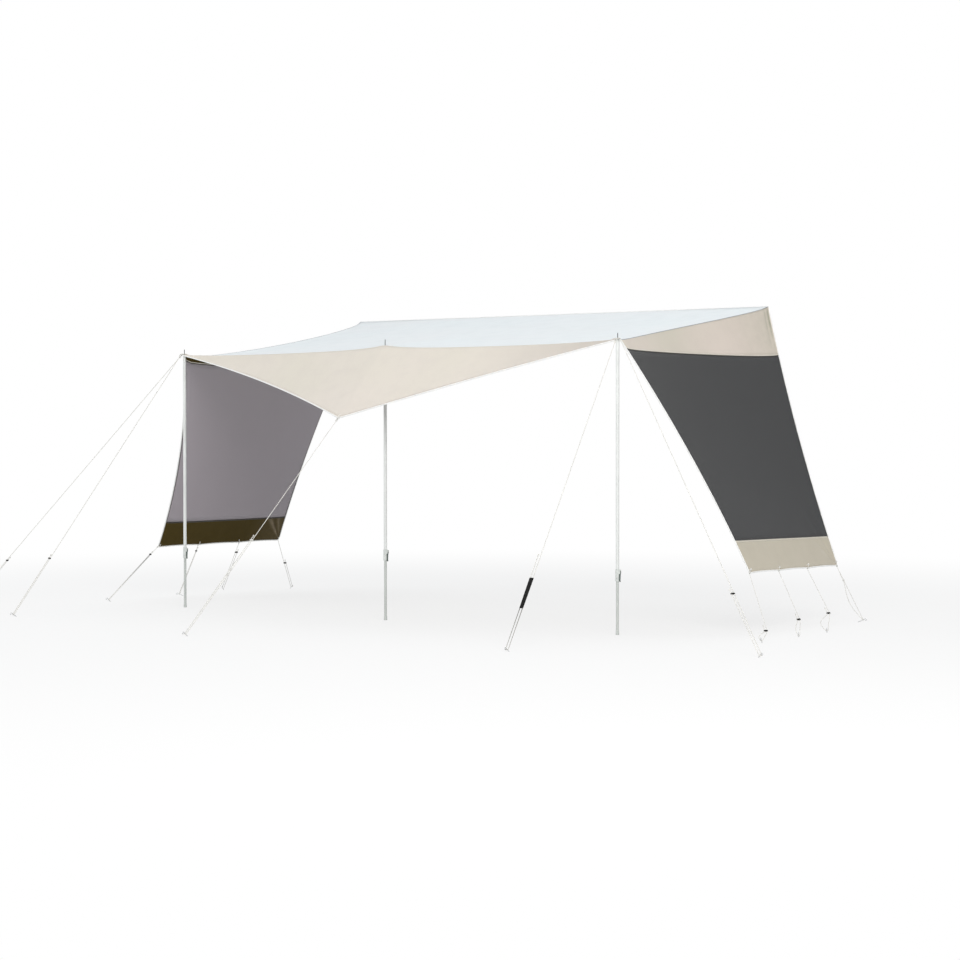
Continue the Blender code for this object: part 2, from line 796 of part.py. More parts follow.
def bottom_route(ground, slider, run, loop_radius, slack, length, tail):
    """The doubled stretch: out of the runner, round the peg, back through the runner, to the stopper knot."""
    lateral = lateral_of(run)
    leaving = slider + run * (length / 2.0 + STRAND_LEAD)
    low_run = (ground - leaving).normalized()
    low_lateral = lateral_of(low_run)
    bends = (slider - ground).cross(run).length > STRAND_LEAD
    points = [leaving] if bends else []
    middle = ground + low_lateral * loop_radius - low_run * loop_radius
    for step in range(EYE_STEPS + 1):
        angle = math.radians(180.0 * step / EYE_STEPS)
        round_peg = low_run * math.sin(angle) - low_lateral * math.cos(angle)
        points.append(middle + round_peg * loop_radius)
    across = lateral * 2.0 * loop_radius
    if slack is not None:
        last = points[-1]
        for along, aside in SLACK_SHARES:
            points.append(last.lerp(leaving + across, along) + Vector(slack) * aside)
    if bends or slack is not None:
        points.append(leaving + across)
    knot_start = slider + across - run * tail
    points.append(knot_start)
    points += [knot_start - run * KNOT_LENGTH * share for share in KNOT_SHARES]
    return points, low_run


def add_runner(name, centre, run, loop_radius, cord_radius, length, taper, finish, group):
    """A flat slider across both strands. The strands run through its two bores."""
    lateral = lateral_of(run)
    bore = cord_radius + RUNNER_BORE_GAP
    half_height = RUNNER_HEIGHT / 2.0
    half_length = loop_radius + half_height
    outline = round_outline(half_length, half_height, loop_radius, HOOK_STEPS)
    bore /= math.cos(math.pi / BORE_SIDES)
    holes = [circle_outline(2.0 * loop_radius * end, 0.0, bore, BORE_SIDES) for end in (0.0, 1.0)]
    runner = cut_plate(name, outline, holes, length, finish, group)
    for vertex in runner.data.vertices:
        if vertex.co.z < 0.0 and abs(vertex.co.y) > bore:
            vertex.co.y *= taper
    upward = lateral.cross(run).normalized()
    turn = Matrix((lateral, upward, run * -1.0)).transposed().to_4x4()
    runner.matrix_world = Matrix.Translation(centre) @ turn
    return runner


def add_peg(name, ground, run, loop_radius, cord_radius, finish, group):
    """The part of the peg that stands out of the ground, square to the rope, with its hook."""
    lateral = lateral_of(run)
    upward = lateral.cross(run).normalized()
    if upward.z < 0.0:
        upward.negate()
    seat = cord_radius + CLEARANCE + PEG_RADIUS
    rod = ground + lateral * loop_radius - run * seat
    below = rod - upward * ((rod.z + OVERRUN) / upward.z)
    top = rod + upward * PEG_RISE
    points = [below, top]
    for step in range(1, HOOK_STEPS + 1):
        angle = math.radians(180.0 * step / HOOK_STEPS)
        along = PEG_HOOK_RADIUS * (1.0 - math.cos(angle))
        rise = PEG_HOOK_RADIUS * math.sin(angle)
        points.append(top + run * along + upward * rise)
    points.append(points[-1] - upward * PEG_TIP)
    wire = add_rope(name + "_wire", points, PEG_RADIUS, [], finish, group)
    peg = solid_from(wire, name, finish, group)
    work = bmesh.new()
    work.from_mesh(peg.data)
    whole = work.verts[:] + work.edges[:] + work.faces[:]
    sliced = bmesh.ops.bisect_plane(
        work, geom=whole, plane_co=(0.0, 0.0, 0.0), plane_no=(0.0, 0.0, 1.0), clear_inner=True
    )
    rim = [item for item in sliced["geom_cut"] if isinstance(item, bmesh.types.BMEdge)]
    bmesh.ops.contextual_create(work, geom=rim)
    bmesh.ops.recalc_face_normals(work, faces=work.faces[:])
    work.to_mesh(peg.data)
    work.free()
    peg.data.shade_smooth()
    return peg


def with_breaks(route, breaks):
    """Adds the places where a route crosses a bend, so that its straight runs stay clear of the edge."""
    full = [route[0]]
    for (first, aside), (second, next_aside) in zip(route, route[1:]):
        inside = [at for at in breaks if min(first, second) < at < max(first, second)]
        for at in sorted(inside, reverse=second < first):
            full.append((at, mix(aside, next_aside, (at - first) / (second - first))))
        full.append((second, next_aside))
    return full


def corner_eye(place, level, heading, cord_radius, run_target):
    """An eye laid flat over a pole's spike, then bent down over the edge of the cloth."""
    seat = SPIKE_RADIUS + CORD_SEAT_GAP + cord_radius
    route = eye_route(GUY_EYE_RADIUS, seat)
    lift = CLOTH / 2.0 + CORD_SEAT_GAP + cord_radius + level * (2.0 * cord_radius + CORD_SEAT_GAP)
    origin = Vector((POLE_X[place], 0.0, POLE_TOP_HEIGHTS[place] + lift))
    bend_start = EYE_BEND_START + level * EYE_STAGGER
    bend = origin + heading * bend_start
    run = (run_target - bend).normalized()
    across = run.cross(Vector((0.0, 0.0, 1.0))).normalized()
    turn = heading.angle(run)
    tangent = EYE_BEND_RADIUS * math.tan(turn / 2.0)
    arc_length = EYE_BEND_RADIUS * turn

    def at(along):
        if along <= bend_start - tangent:
            return origin + heading * along
        past = along - (bend_start - tangent)
        if past >= arc_length:
            return bend + run * (tangent + past - arc_length)
        angle = past / EYE_BEND_RADIUS
        start = origin + heading * (bend_start - tangent)
        down = Vector((0.0, 0.0, -1.0))
        return start + heading * (EYE_BEND_RADIUS * math.sin(angle)) + down * (
            EYE_BEND_RADIUS * (1.0 - math.cos(angle))
        )

    breaks = [bend_start - tangent, bend_start, bend_start + tangent]
    points = [at(along) + across * aside for along, aside in with_breaks(route, breaks)]
    return points, run


def cloth_eye(hole, surface_normal, cord_radius, radius, run_target):
    """An eye through a hole in the cloth, round its edge, then on towards the ground."""
    straight = (run_target - hole).normalized()
    along_cloth = (straight - surface_normal * straight.dot(surface_normal)).normalized()
    seat = EYELET_RADIUS - cord_radius - CORD_SEAT_GAP
    route = eye_route(radius, -seat)
    points = [hole + along_cloth * along + surface_normal * aside for along, aside in route]
    run = (run_target - points[-1]).normalized()
    return points, run


def add_guy(key, points, run, ground, kind, finishes, group):
    """One rope with its runner and its peg, from the eye at its upper end to the loop at the ground."""
    is_guy = kind == "guy"
    cord_radius = GUY_RADIUS if is_guy else PANEL_CORD_RADIUS
    loop_radius = GUY_LOOP_RADIUS if is_guy else CORD_LOOP_RADIUS
    sleeve = key == "right_front"
    tail = TAIL_LENGTHS.get(key, DEFAULT_TAIL)
    runner_up = RUNNER_UP[key]
    length = SLEEVE_LENGTH if sleeve else RUNNER_THICKNESS
    centre = ground - run * runner_up + lateral_of(run) * RUNNER_SWAY.get(key, 0.0)
    run = (centre - points[-1]).normalized()
    slack = RETURN_SLACK.get(key)
    low, low_run = bottom_route(ground, centre, run, loop_radius, slack, length, tail)
    knot = [1.0, KNOT_SWELL_SHARE, KNOT_SWELL_SHARE]
    add_rope(kind + "_rope_" + key, points + low, cord_radius, knot, finishes["rope"], group)
    taper = SLEEVE_TAPER_SHARE if sleeve else 1.0
    finish = finishes["pale_runner" if key in PALE_RUNNERS else "runner"]
    add_runner(kind + "_runner_" + key, centre, run, loop_radius, cord_radius, length, taper, finish, group)
    add_peg(kind + "_peg_" + key, ground, low_run, loop_radius, cord_radius, finishes["peg"], group)
    return centre, run


def ground_point(place):
    return Vector((place[0], place[1], PEG_LOOP_HEIGHT))


def add_corner_guys(finishes, group):
    places = {}
    for key, place, level in CORNER_GUYS:
        ground = ground_point(GUY_GROUND[key])
        heading = Vector((ground.x - POLE_X[place], ground.y, 0.0)).normalized()
        points, run = corner_eye(place, level, heading, GUY_RADIUS, ground)
        places[key] = add_guy(key, points, run, ground, "guy", finishes, group)
    return places


def visor_normal():
    across = visor_point(PAD_HALF, 1.0) - visor_point(-PAD_HALF, 1.0)
    down = visor_point(0.0, 1.0) - visor_point(0.0, NEAR_EDGE_SHARE)
    return down.cross(across).normalized()


def add_nose_guy(visor, finishes, group, guides):
    ground = ground_point(GUY_GROUND["nose"])
    tip = (visor_point(PAD_HALF, 1.0) + visor_point(-PAD_HALF, 1.0)) / 2.0
    upward = (visor_point(0.0, NEAR_EDGE_SHARE) - visor_point(0.0, 1.0)).normalized()
    hole = tip + upward * EYELET_UP
    normal = visor_normal()
    cutter = guide_cylinder(
        "nose_eyelet", EYELET_RADIUS, hole - normal * OVERRUN, hole + normal * OVERRUN, EYELET_SIDES, guides
    )
    cut(visor, cutter)
    points, run = cloth_eye(hole, normal, GUY_RADIUS, GUY_EYE_RADIUS, ground)
    return {"nose": add_guy("nose", points, run, ground, "guy", finishes, group)}


def hem_place(sign, share):
    """A hole near the hem, with the outward normal of the cloth there, on the facet between two stations."""
    low, high = next(pair for pair in zip(ROW_SHARES, ROW_SHARES[1:]) if share <= pair[1])
    between = (share - low) / (high - low)

    def last_row(row):
        return mix(strip_share(row), 1.0, (STRIP_ROWS - 1) / STRIP_ROWS)

    bottom = panel_point(sign, low, 1.0).lerp(panel_point(sign, high, 1.0), between)
    low_inner = panel_point(sign, low, last_row(low))
    high_inner = panel_point(sign, high, last_row(high))
    upward = (low_inner.lerp(high_inner, between) - bottom).normalized()
    normal = (high_inner - low_inner).cross(upward).normalized()
    if normal.x * sign < 0.0:
        normal.negate()
    return bottom + upward * EYELET_UP, normal


def add_panel_ropes(side, sign, strip, finishes, group, guides):
    places = {}
    for index, share in enumerate(HEM_LOOP_SHARES):
        key = side + "_" + str(index + 1)
        ground = ground_point(PANEL_GROUND[key])
        hole, normal = hem_place(sign, share)
        cutter = guide_cylinder(
            "hem_eyelet_" + key, EYELET_RADIUS, hole - normal * OVERRUN, hole + normal * OVERRUN,
            EYELET_SIDES, guides,
        )
        cut(strip, cutter)
        points, run = cloth_eye(hole, normal, PANEL_CORD_RADIUS, CORD_EYE_RADIUS, ground)
        places[key] = add_guy(key, points, run, ground, "panel", finishes, group)
    return places


def add_beading(finish, group):
    work = bmesh.new()
    bmesh.ops.create_cone(
        work,
        cap_ends=True,
        segments=BEADING_SIDES,
        radius1=BEADING_RADIUS,
        radius2=BEADING_RADIUS,
        depth=2.0 * RAIL_HALF,
    )
    mesh = bpy.data.meshes.new("rail_beading")
    work.to_mesh(mesh)
    work.free()
    beading = add_mesh_object("rail_beading", mesh, finish, group)
    beading.rotation_euler = (0.0, math.radians(90.0), 0.0)
    beading.location = (0.0, RAIL_DEPTH, RAIL_HEIGHT)
    beading.data.shade_smooth()
    return beading


def make_finishes():
    return {
        "roof": finish_material("roof_cloth", (0.80, 0.85, 0.87), 0.55),
        "visor": finish_material("visor_cloth", (0.77, 0.71, 0.63), 0.60),
        "gusset": finish_material("gusset_cloth", (0.70, 0.62, 0.53), 0.60),
        "mesh": finish_material("shade_mesh", (0.12, 0.12, 0.13), 0.70, alpha=0.8),
        "strip": finish_material("strip_cloth", (0.50, 0.46, 0.38), 0.60),
        "beading": finish_material("beading_cord", (0.85, 0.86, 0.86), 0.50),
        "tube": finish_material("pole_tube", (0.72, 0.74, 0.73), 0.40, metallic=0.2),
        "lower_tube": finish_material("pole_lower_tube", (0.70, 0.72, 0.71), 0.40, metallic=0.2),
        "clamp": finish_material("clamp_plastic", (0.66, 0.68, 0.66), 0.50),
        "lever": finish_material("lever_plastic", (0.10, 0.13, 0.12), 0.45),
        "rope": finish_material("guy_rope", (0.82, 0.81, 0.76), 0.80),
        "runner": finish_material("runner_plastic", (0.03, 0.03, 0.03), 0.45),
        "pale_runner": finish_material("pale_runner_plastic", (0.80, 0.78, 0.70), 0.45),
        "peg": finish_material("peg_steel", (0.55, 0.56, 0.57), 0.35, metallic=1.0),
    }


def main():
    clear_scene()
    group = new_collection("caravan_sun_canopy")
    guides = new_collection("guides")
    finishes = make_finishes()
    roof = add_roof(finishes["roof"], group)
    visor = add_visor(finishes["visor"], group)
    add_beading(finishes["beading"], group)
    for place in ("left", "centre", "right"):
        add_pole(place, finishes, group, guides)
        top = Vector((POLE_X[place], 0.0, POLE_TOP_HEIGHTS[place]))
        up = Vector((0.0, 0.0, OVERRUN))
        hole = guide_cylinder(
            "roof_eyelet_" + place, SPIKE_RADIUS + CORD_SEAT_GAP, top - up, top + up, EYELET_SIDES, guides
        )
        cut(roof, hole)
    places = add_corner_guys(finishes, group)
    places.update(add_nose_guy(visor, finishes, group, guides))
    for side, sign in SIDES.items():
        strip = add_side_panel(side, sign, finishes, group)
        places.update(add_panel_ropes(side, sign, strip, finishes, group, guides))
    return places


RUNNER_PLACES = main()
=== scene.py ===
"""Looks of the caravan sun canopy: cloth, piping, hems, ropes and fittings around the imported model."""

import json
import math

import bmesh
import bpy
from mathutils import Matrix, Vector
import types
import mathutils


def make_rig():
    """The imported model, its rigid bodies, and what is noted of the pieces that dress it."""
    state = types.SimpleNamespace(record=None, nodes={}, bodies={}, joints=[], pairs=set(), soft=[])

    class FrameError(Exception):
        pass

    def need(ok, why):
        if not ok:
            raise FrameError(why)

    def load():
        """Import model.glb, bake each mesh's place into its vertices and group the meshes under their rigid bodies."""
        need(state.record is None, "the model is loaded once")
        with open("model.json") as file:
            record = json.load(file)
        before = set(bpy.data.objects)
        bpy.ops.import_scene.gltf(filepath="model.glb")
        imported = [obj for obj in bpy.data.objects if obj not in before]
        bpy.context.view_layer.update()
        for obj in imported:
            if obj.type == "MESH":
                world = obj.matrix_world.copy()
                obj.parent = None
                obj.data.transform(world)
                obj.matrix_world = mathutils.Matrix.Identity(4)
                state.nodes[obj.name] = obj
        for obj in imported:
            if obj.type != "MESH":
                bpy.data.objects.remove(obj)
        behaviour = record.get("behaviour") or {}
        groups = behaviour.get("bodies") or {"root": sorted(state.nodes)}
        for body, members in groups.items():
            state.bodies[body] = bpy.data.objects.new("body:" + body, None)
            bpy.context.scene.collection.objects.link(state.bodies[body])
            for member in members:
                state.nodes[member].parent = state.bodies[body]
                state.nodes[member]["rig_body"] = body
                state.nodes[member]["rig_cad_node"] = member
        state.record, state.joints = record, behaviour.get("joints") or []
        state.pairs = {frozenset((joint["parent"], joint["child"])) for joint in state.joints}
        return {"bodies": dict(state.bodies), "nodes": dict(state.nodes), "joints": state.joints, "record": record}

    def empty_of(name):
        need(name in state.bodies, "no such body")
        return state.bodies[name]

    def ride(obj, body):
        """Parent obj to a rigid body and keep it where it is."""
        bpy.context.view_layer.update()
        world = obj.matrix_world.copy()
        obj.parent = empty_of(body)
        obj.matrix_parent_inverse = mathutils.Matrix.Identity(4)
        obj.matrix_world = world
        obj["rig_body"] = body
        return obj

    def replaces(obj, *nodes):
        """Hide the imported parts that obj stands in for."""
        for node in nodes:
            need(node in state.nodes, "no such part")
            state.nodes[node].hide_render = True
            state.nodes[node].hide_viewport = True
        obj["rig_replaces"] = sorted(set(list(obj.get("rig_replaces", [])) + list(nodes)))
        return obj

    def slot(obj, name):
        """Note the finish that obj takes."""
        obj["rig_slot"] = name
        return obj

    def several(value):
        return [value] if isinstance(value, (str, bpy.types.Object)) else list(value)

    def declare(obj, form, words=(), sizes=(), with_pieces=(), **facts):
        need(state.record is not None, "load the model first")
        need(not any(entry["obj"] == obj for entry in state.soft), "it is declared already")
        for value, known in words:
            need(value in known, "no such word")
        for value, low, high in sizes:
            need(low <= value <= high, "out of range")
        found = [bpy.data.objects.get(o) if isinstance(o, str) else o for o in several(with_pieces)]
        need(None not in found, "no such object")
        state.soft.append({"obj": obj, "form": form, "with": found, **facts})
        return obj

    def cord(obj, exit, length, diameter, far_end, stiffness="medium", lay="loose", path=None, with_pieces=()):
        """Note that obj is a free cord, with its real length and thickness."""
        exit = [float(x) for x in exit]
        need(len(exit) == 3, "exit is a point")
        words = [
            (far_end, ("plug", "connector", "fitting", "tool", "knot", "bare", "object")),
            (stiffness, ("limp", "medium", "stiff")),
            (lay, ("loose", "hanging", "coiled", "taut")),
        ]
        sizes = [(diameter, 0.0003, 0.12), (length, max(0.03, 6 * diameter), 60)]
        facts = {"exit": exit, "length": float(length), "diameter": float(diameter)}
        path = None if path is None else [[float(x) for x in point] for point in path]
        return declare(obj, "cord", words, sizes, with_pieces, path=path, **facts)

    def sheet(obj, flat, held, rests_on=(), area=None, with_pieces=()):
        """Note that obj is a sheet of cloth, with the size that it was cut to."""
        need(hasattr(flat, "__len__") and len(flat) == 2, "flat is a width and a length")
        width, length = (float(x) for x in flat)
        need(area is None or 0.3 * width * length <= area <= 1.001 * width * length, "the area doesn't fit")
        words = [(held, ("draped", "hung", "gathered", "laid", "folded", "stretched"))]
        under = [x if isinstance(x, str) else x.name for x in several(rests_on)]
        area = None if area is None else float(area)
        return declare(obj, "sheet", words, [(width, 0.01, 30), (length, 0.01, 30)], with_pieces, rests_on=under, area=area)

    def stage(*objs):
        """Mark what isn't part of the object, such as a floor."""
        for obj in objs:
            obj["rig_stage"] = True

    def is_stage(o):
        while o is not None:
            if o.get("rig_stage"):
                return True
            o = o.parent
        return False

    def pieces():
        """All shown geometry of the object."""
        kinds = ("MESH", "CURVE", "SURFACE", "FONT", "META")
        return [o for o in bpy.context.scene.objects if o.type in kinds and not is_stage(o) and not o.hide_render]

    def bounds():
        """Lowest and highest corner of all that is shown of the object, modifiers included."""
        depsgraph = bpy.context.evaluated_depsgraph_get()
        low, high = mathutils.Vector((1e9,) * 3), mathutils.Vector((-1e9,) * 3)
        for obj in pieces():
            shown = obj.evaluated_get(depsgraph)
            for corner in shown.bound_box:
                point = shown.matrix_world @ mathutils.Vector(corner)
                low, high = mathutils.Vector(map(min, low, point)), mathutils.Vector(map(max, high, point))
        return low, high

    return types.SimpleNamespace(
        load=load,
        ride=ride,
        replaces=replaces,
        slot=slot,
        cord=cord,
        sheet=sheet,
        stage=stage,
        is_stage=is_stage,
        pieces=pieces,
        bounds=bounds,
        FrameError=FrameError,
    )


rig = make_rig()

# Roof and row of poles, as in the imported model
RAIL_HEIGHT = 2.45
RAIL_DEPTH = 2.25
RAIL_HALF = 2.10
POLE_OUTSIDE = 0.035
POLE_SPACING = RAIL_HALF + POLE_OUTSIDE
POLE_TOP_HEIGHTS = {"left": 2.09, "centre": 2.12, "right": 2.115}
BEADING_RADIUS = 0.0035
SEAM_AHEAD = 0.012
PAD_HALF = 0.014
FRONT_HALF = POLE_SPACING + PAD_HALF
ROOF_BELLY = 0.050
ROOF_EDGE_BOW = 0.150
EDGE_REACH_SHARE = 4.0
SEAM_DIP = 0.030
PEAK_REACH = 0.220
CORNER_REACH = 0.450
SPIKE_RADIUS = 0.0030

# Sag of the roof's side edges: its depth, its lean towards the front, and the power that fills its ends
ROOF_EDGE_SAGS = {"left": (0.051, 0.12, 0.38), "right": (0.036, -0.25, 0.55)}

# Front visor
NOSE_FORWARD = 0.550
NOSE_HEIGHT = 1.565
NOSE_HALF_WIDTH = 0.022
VISOR_END_DROP = 0.004
VISOR_EDGE_BOW_BACK = 0.080
VISOR_EDGE_BOW_UP = 0.026
VISOR_BILLOW = 0.016
NEAR_EDGE_SHARE = 0.9

# Side panels: the corners of their hems, and the front, rear and curve of the seam under each gusset
PANEL_FRONT_FLARE = 0.800
PANEL_REAR_FLARE = 0.760
PANEL_REAR_AHEAD = 0.275
PANEL_FRONT_OUT = POLE_SPACING + PANEL_FRONT_FLARE
PANEL_FRONT_BACK = 0.494
PANEL_REAR_OUT = RAIL_HALF + PANEL_REAR_FLARE
PANEL_REAR_BACK = RAIL_DEPTH - PANEL_REAR_AHEAD
HEM_HEIGHTS = {"left": (0.457, 0.462), "right": (0.450, 0.428)}
GUSSET_SHARES = {"left": (0.022, 0.190, 0.009), "right": (0.036, 0.192, -0.002)}
PANEL_FRONT_BOWS = {"left": 0.105, "right": 0.078}
PANEL_REAR_BOW = 0.068
PANEL_BILLOW = 0.020
STRIP_FRONT_SHARE = 0.868
STRIP_REAR_SHARE = 0.893
HEM_SCALLOP = 0.006
CORNER_ROUND = 0.035

# Folds of the side panels: one pleat down from the rail, and two that run up from the rear of the hem
RAIL_PLEAT_DEPTH = 0.007
RAIL_PLEAT_AHEAD = 0.045
RAIL_PLEAT_WIDTH = 0.026
RAIL_PLEAT_REACH = 0.160
HEM_PLEAT_DEPTH = 0.010
HEM_PLEAT_REACH = 0.190
HEM_PLEAT_ANGLES = (0.46, 0.78)
HEM_PLEAT_SPREAD_ANGLE = 0.13

# Painted light and shade along the folds of the side panels: the place, width and share of each crease along the
# folds, and a tone towards the rear
HEM_CREASE_SHARES = (0.45, 1.0)
HEM_CREASE_SPREAD_ANGLE = 0.065
RAIL_CREASES = ((0.018, 0.010, 0.85), (0.052, 0.009, 0.40))
RAIL_CREASE_REACH = 0.075
REAR_TONE_START = 0.70
REAR_TONE_SHARE = 0.26

# Cloth and its trim
CLOTH = 0.0016
MESH_THICKNESS = 0.0008
PIPING_RADIUS = 0.0048
ROOF_PIPING_RADIUS = 0.0028
HEM_WIDTH = 0.022
EDGE_WIDTH = 0.013
HEM_THICKNESS = 0.0005
TRIM_LIFT = (CLOTH + HEM_THICKNESS) / 2.0
SEAM_TAPE_WIDTH = 0.016
RAIL_FLAP_WIDTH = 0.030
TAPE_SHARES = (0.02, 0.35, 0.68, 1.0)
PATCH_RADIUS = 0.060
EYELET_UP = 0.021
EYELET_RADIUS = 0.0034
SMALLEST_AREA_SHARE = 0.301

# Eyelet rings: the radius to the middle of the rolled rim, and the rim's own
POLE_RING = (SPIKE_RADIUS + 0.0030, 0.0016)
NOSE_RING = (EYELET_RADIUS + 0.0026, 0.0014)
HEM_RING = (EYELET_RADIUS + 0.0022, 0.0012)
RING_STEPS = 28
RING_SIDES = 10
RING_SWELL = 0.9

# Ropes, runners and pegs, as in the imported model
CORD_RADII = {"guy": 0.0025, "panel": 0.0020}
LOOP_RADII = {"guy": 0.0104, "panel": 0.0084}
EYE_RADII = {"guy": 0.0100, "panel": 0.0080}
EYE_BEND_START = 0.0235
EYE_BEND_RADIUS = 0.0120
EYE_STAGGER = 0.0040
EYE_END_SHARES = ((3.3, 0.62), (2.2, 0.86), (1.0, 1.02))
EYE_RUN_SHARES = ((0.9, -0.92), (1.5, -0.72), (2.2, -0.42), (2.9, -0.16), (3.9, 0.0))
EYE_STEPS = 9
CORD_SEAT_GAP = 0.0005
TAIL_PAST_KNOT = 0.0042
PEG_LOOP_HEIGHT = 0.013
PEG_RADIUS = 0.0030
PEG_RISE = 0.020
PEG_HOOK_RADIUS = 0.0065
PEG_HOOK_STEPS = 12
PEG_TIP = 0.005
PEG_SINK = 0.020
WELD_DISTANCE = 0.00001
RUNNER_THICKNESS = 0.0080
RUNNER_HEIGHT = 0.0130
RUNNER_BORE_GAP = 0.0005
RUNNER_EDGE = 0.0010
RUNNER_END_STEPS = 10
RUNNER_WAIST_SHARE = 0.16
RUNNER_WAIST_REACH = 0.35
BORE_STEPS = 20
BORE_RIM_SHARE = 1.02
SLEEVE_LENGTH = 0.235
SLEEVE_TAPER_SHARE = 0.55
SLEEVE_TOP_WIDTH_SHARE = 0.93
SLEEVE_FOOT_WIDTH_SHARE = 0.84
CLEARANCE = 0.0003
STRAND_LEAD = 0.004

# Each rope's peg on the ground, and how far up the rope its runner sits
PEGS_AND_RUNNERS = {
    "left_side": (-4.05, -0.62, 0.480),
    "left_front": (-2.56, -1.489, 0.540),
    "nose": (-0.272, -1.923, 0.880),
    "right_front": (2.234, -1.476, 0.440),
    "right_side": (3.775, -0.816, 0.500),
    "left_1": (-3.093, 0.055, 0.550),
    "left_2": (-3.088, 0.904, 0.422),
    "left_3": (-3.310, 1.697, 0.521),
    "left_4": (-2.938, 2.232, 0.270),
    "right_1": (3.279, 0.069, 0.103),
    "right_2": (3.276, 0.611, 0.159),
    "right_3": (3.264, 1.055, 0.189),
    "right_4": (3.058, 2.022, 0.340),
}

# Ropes at the corner poles, each with its pole and how many others lie under its eye
CORNER_GUYS = (
    ("left_side", "left", 0),
    ("left_front", "left", 1),
    ("right_front", "right", 0),
    ("right_side", "right", 1),
)
HEM_LOOP_SHARES = (0.012, 0.326, 0.652, 0.988)
RUNNER_SWAY = {"right_1": -0.046, "right_2": -0.038, "right_3": -0.056}
RETURN_SLACK = {
    "right_1": (-0.020, -0.014, 0.0),
    "right_2": (-0.012, -0.009, 0.0),
    "right_3": (-0.036, -0.028, 0.0),
    "right_4": (-0.026, -0.019, -0.010),
}
SLACK_SHARES = ((0.13, 0.42), (0.30, 0.84), (0.48, 1.0), (0.66, 0.80), (0.84, 0.38))
TAIL_LENGTHS = {"right_front": 0.300, "nose": 0.040, **dict.fromkeys(RETURN_SLACK, 0.050)}
DEFAULT_TAIL = 0.030
SLEEVED = "right_front"
PALE_RUNNERS = ("nose", "right_4")

# Knots, most of them sized in shares of the rope's radius
KNOT_STEPS = 36
KNOT_HEIGHT_SHARE = 0.75
KNOT_OUT = 0.012
EYE_KNOT_SHARE = 3.0
EYE_KNOT_AHEAD_SHARE = 2.0
STOPPER_SHARE = 1.5
STOPPER_STRAND_SHARE = 0.9

# Whippings: the radius as a share of the rope's, the turns, the pitch, and the radius of the thread
EYE_WHIPPING = (1.35, 6, 0.0016, 0.0007)
TAIL_WHIPPING = (1.06, 5, 0.0014, 0.0006)
WHIPPING_STEPS = 10
EYE_WHIPPING_BACK_SHARE = 1.3
TAIL_WHIPPING_BACK = 0.007

# Camera, worked out from the photograph
CAMERA_PLACE = (10.9317, -13.5128, 1.4608)
CAMERA_YAW = -36.5631
CAMERA_PITCH = -1.2465
CAMERA_ROLL = -0.0268
CAMERA_LENS = 84.375
CAMERA_REACH = 300.0
SENSOR = 36.0

# Stage and lamps: place, size, power and colour
FLOOR_REACH = 60.0
LAMP_AIM = (0.0, 0.8, 1.2)
LAMPS = {
    "key": ((9.0, -8.0, 8.0), 7.0, 850.0, (1.0, 0.98, 0.96)),
    "fill": ((-9.0, -7.0, 6.0), 7.0, 260.0, (0.96, 0.98, 1.0)),
    "top": ((0.0, 3.0, 11.0), 8.0, 180.0, (1.0, 1.0, 1.0)),
}
WHITE = (1.0, 1.0, 1.0)

# Stations of the meshes
SIDES = {"left": -1.0, "right": 1.0}
POLE_X = {"left": -POLE_SPACING, "centre": 0.0, "right": POLE_SPACING}
UP = Vector((0.0, 0.0, 1.0))
ROOF_ACROSS = 72
ROOF_BACK = 30
SEAM_STATIONS = 160
RAIL_STATIONS = 120
BEADING_STEPS = 4
VISOR_DOWN = 22
PANEL_ACROSS = 30
PANEL_ACROSS_REAR = 26
REAR_START_SHARE = 0.80
MODEL_ROWS = (0.0, 0.08, 0.18, 0.30, 0.43, 0.56, 0.68, 0.78, 0.85, 0.885, 0.915, 0.945, 0.975, 1.0)
MODEL_LAST_ROW_SHARE = 0.75
CORNER_START_SHARE = 0.972
CORNER_STEPS = 6
EDGE_STEPS = 60
FEWEST_EDGE_STEPS = 4
EDGE_ROW_STEP = 0.01
NEAR_HEM_SHARE = 0.99
NEAR_RAIL_SHARE = 0.99
LAP_STEPS = 3
PATCH_STEPS = 24
PATCH_TRIALS = 200
PATCH_REACHES = (0.12, 0.34, 0.56, 0.78, 1.0)

# Parts of a side panel: node, slot, thickness, rows, and the finishes of its faces and of its edge hems
PANEL_PARTS = (
    ("gusset", "gusset_", "gusset_cloth", CLOTH, 12, "gusset", "inner", "inner_hem", "gusset_hem"),
    (
        "mesh", "mesh_panel_", "shade_mesh", MESH_THICKNESS, 30,
        "mesh", "mesh_inner", "mesh_hem_inner", "mesh_hem",
    ),
    ("strip", "hem_strip_", "strip_cloth", CLOTH, 16, "strip", "inner", "inner_hem", "strip_hem"),
)

# Tapes over their two seams: which seam, the edges in shares of half the width, and the finish on each face
SEAM_LAPS = (
    ("gusset", 1, -1.0, -0.05, "cream_tape", "cream_tape"),
    ("gusset", 1, 0.05, 1.0, "dark_tape", "dark_tape"),
    ("strip", 2, -0.9, 0.9, "strip_tape", "dark_tape"),
)

# The rigid nodes that stay and take a detailed finish, one at each pole
DRESSED = {
    "pole_upper_": "tube",
    # The lower tube takes the darker lacquer, which is painted shade.
    "pole_lower_": "lower_tube",
    "clamp_body_": "clamp",
    "clamp_lever_": "lever",
}

# Textures: weaves, stitches, where the painted shade at the visor's right corner starts, and where two ropes turn dark
CLOTH_PITCH = 0.0007
MESH_PITCH = 0.0011
BRAID_PITCH = 0.0021
WAVE_TURN = math.tau / 20.0
STITCH_LENGTH = 0.0045
STITCH_SHARE = 0.68
STITCH_ROW_OUT = 0.36
STITCH_HALF_WIDTH = 0.045
MESH_COVER_OUTER = 0.88
MESH_COVER_INNER = 0.65
SPIKE_MASK_RADIUS = 0.0037
CORNER_SHADE_START = 0.90
SHEEN_ROUGHNESS = 0.45
# Two ropes turn dark low down: the height where the dark starts, and the height where it has faded again.
ROPE_DARK_STRETCHES = {"left_1": (0.395, 0.090), "right_front": (0.330, -0.100)}

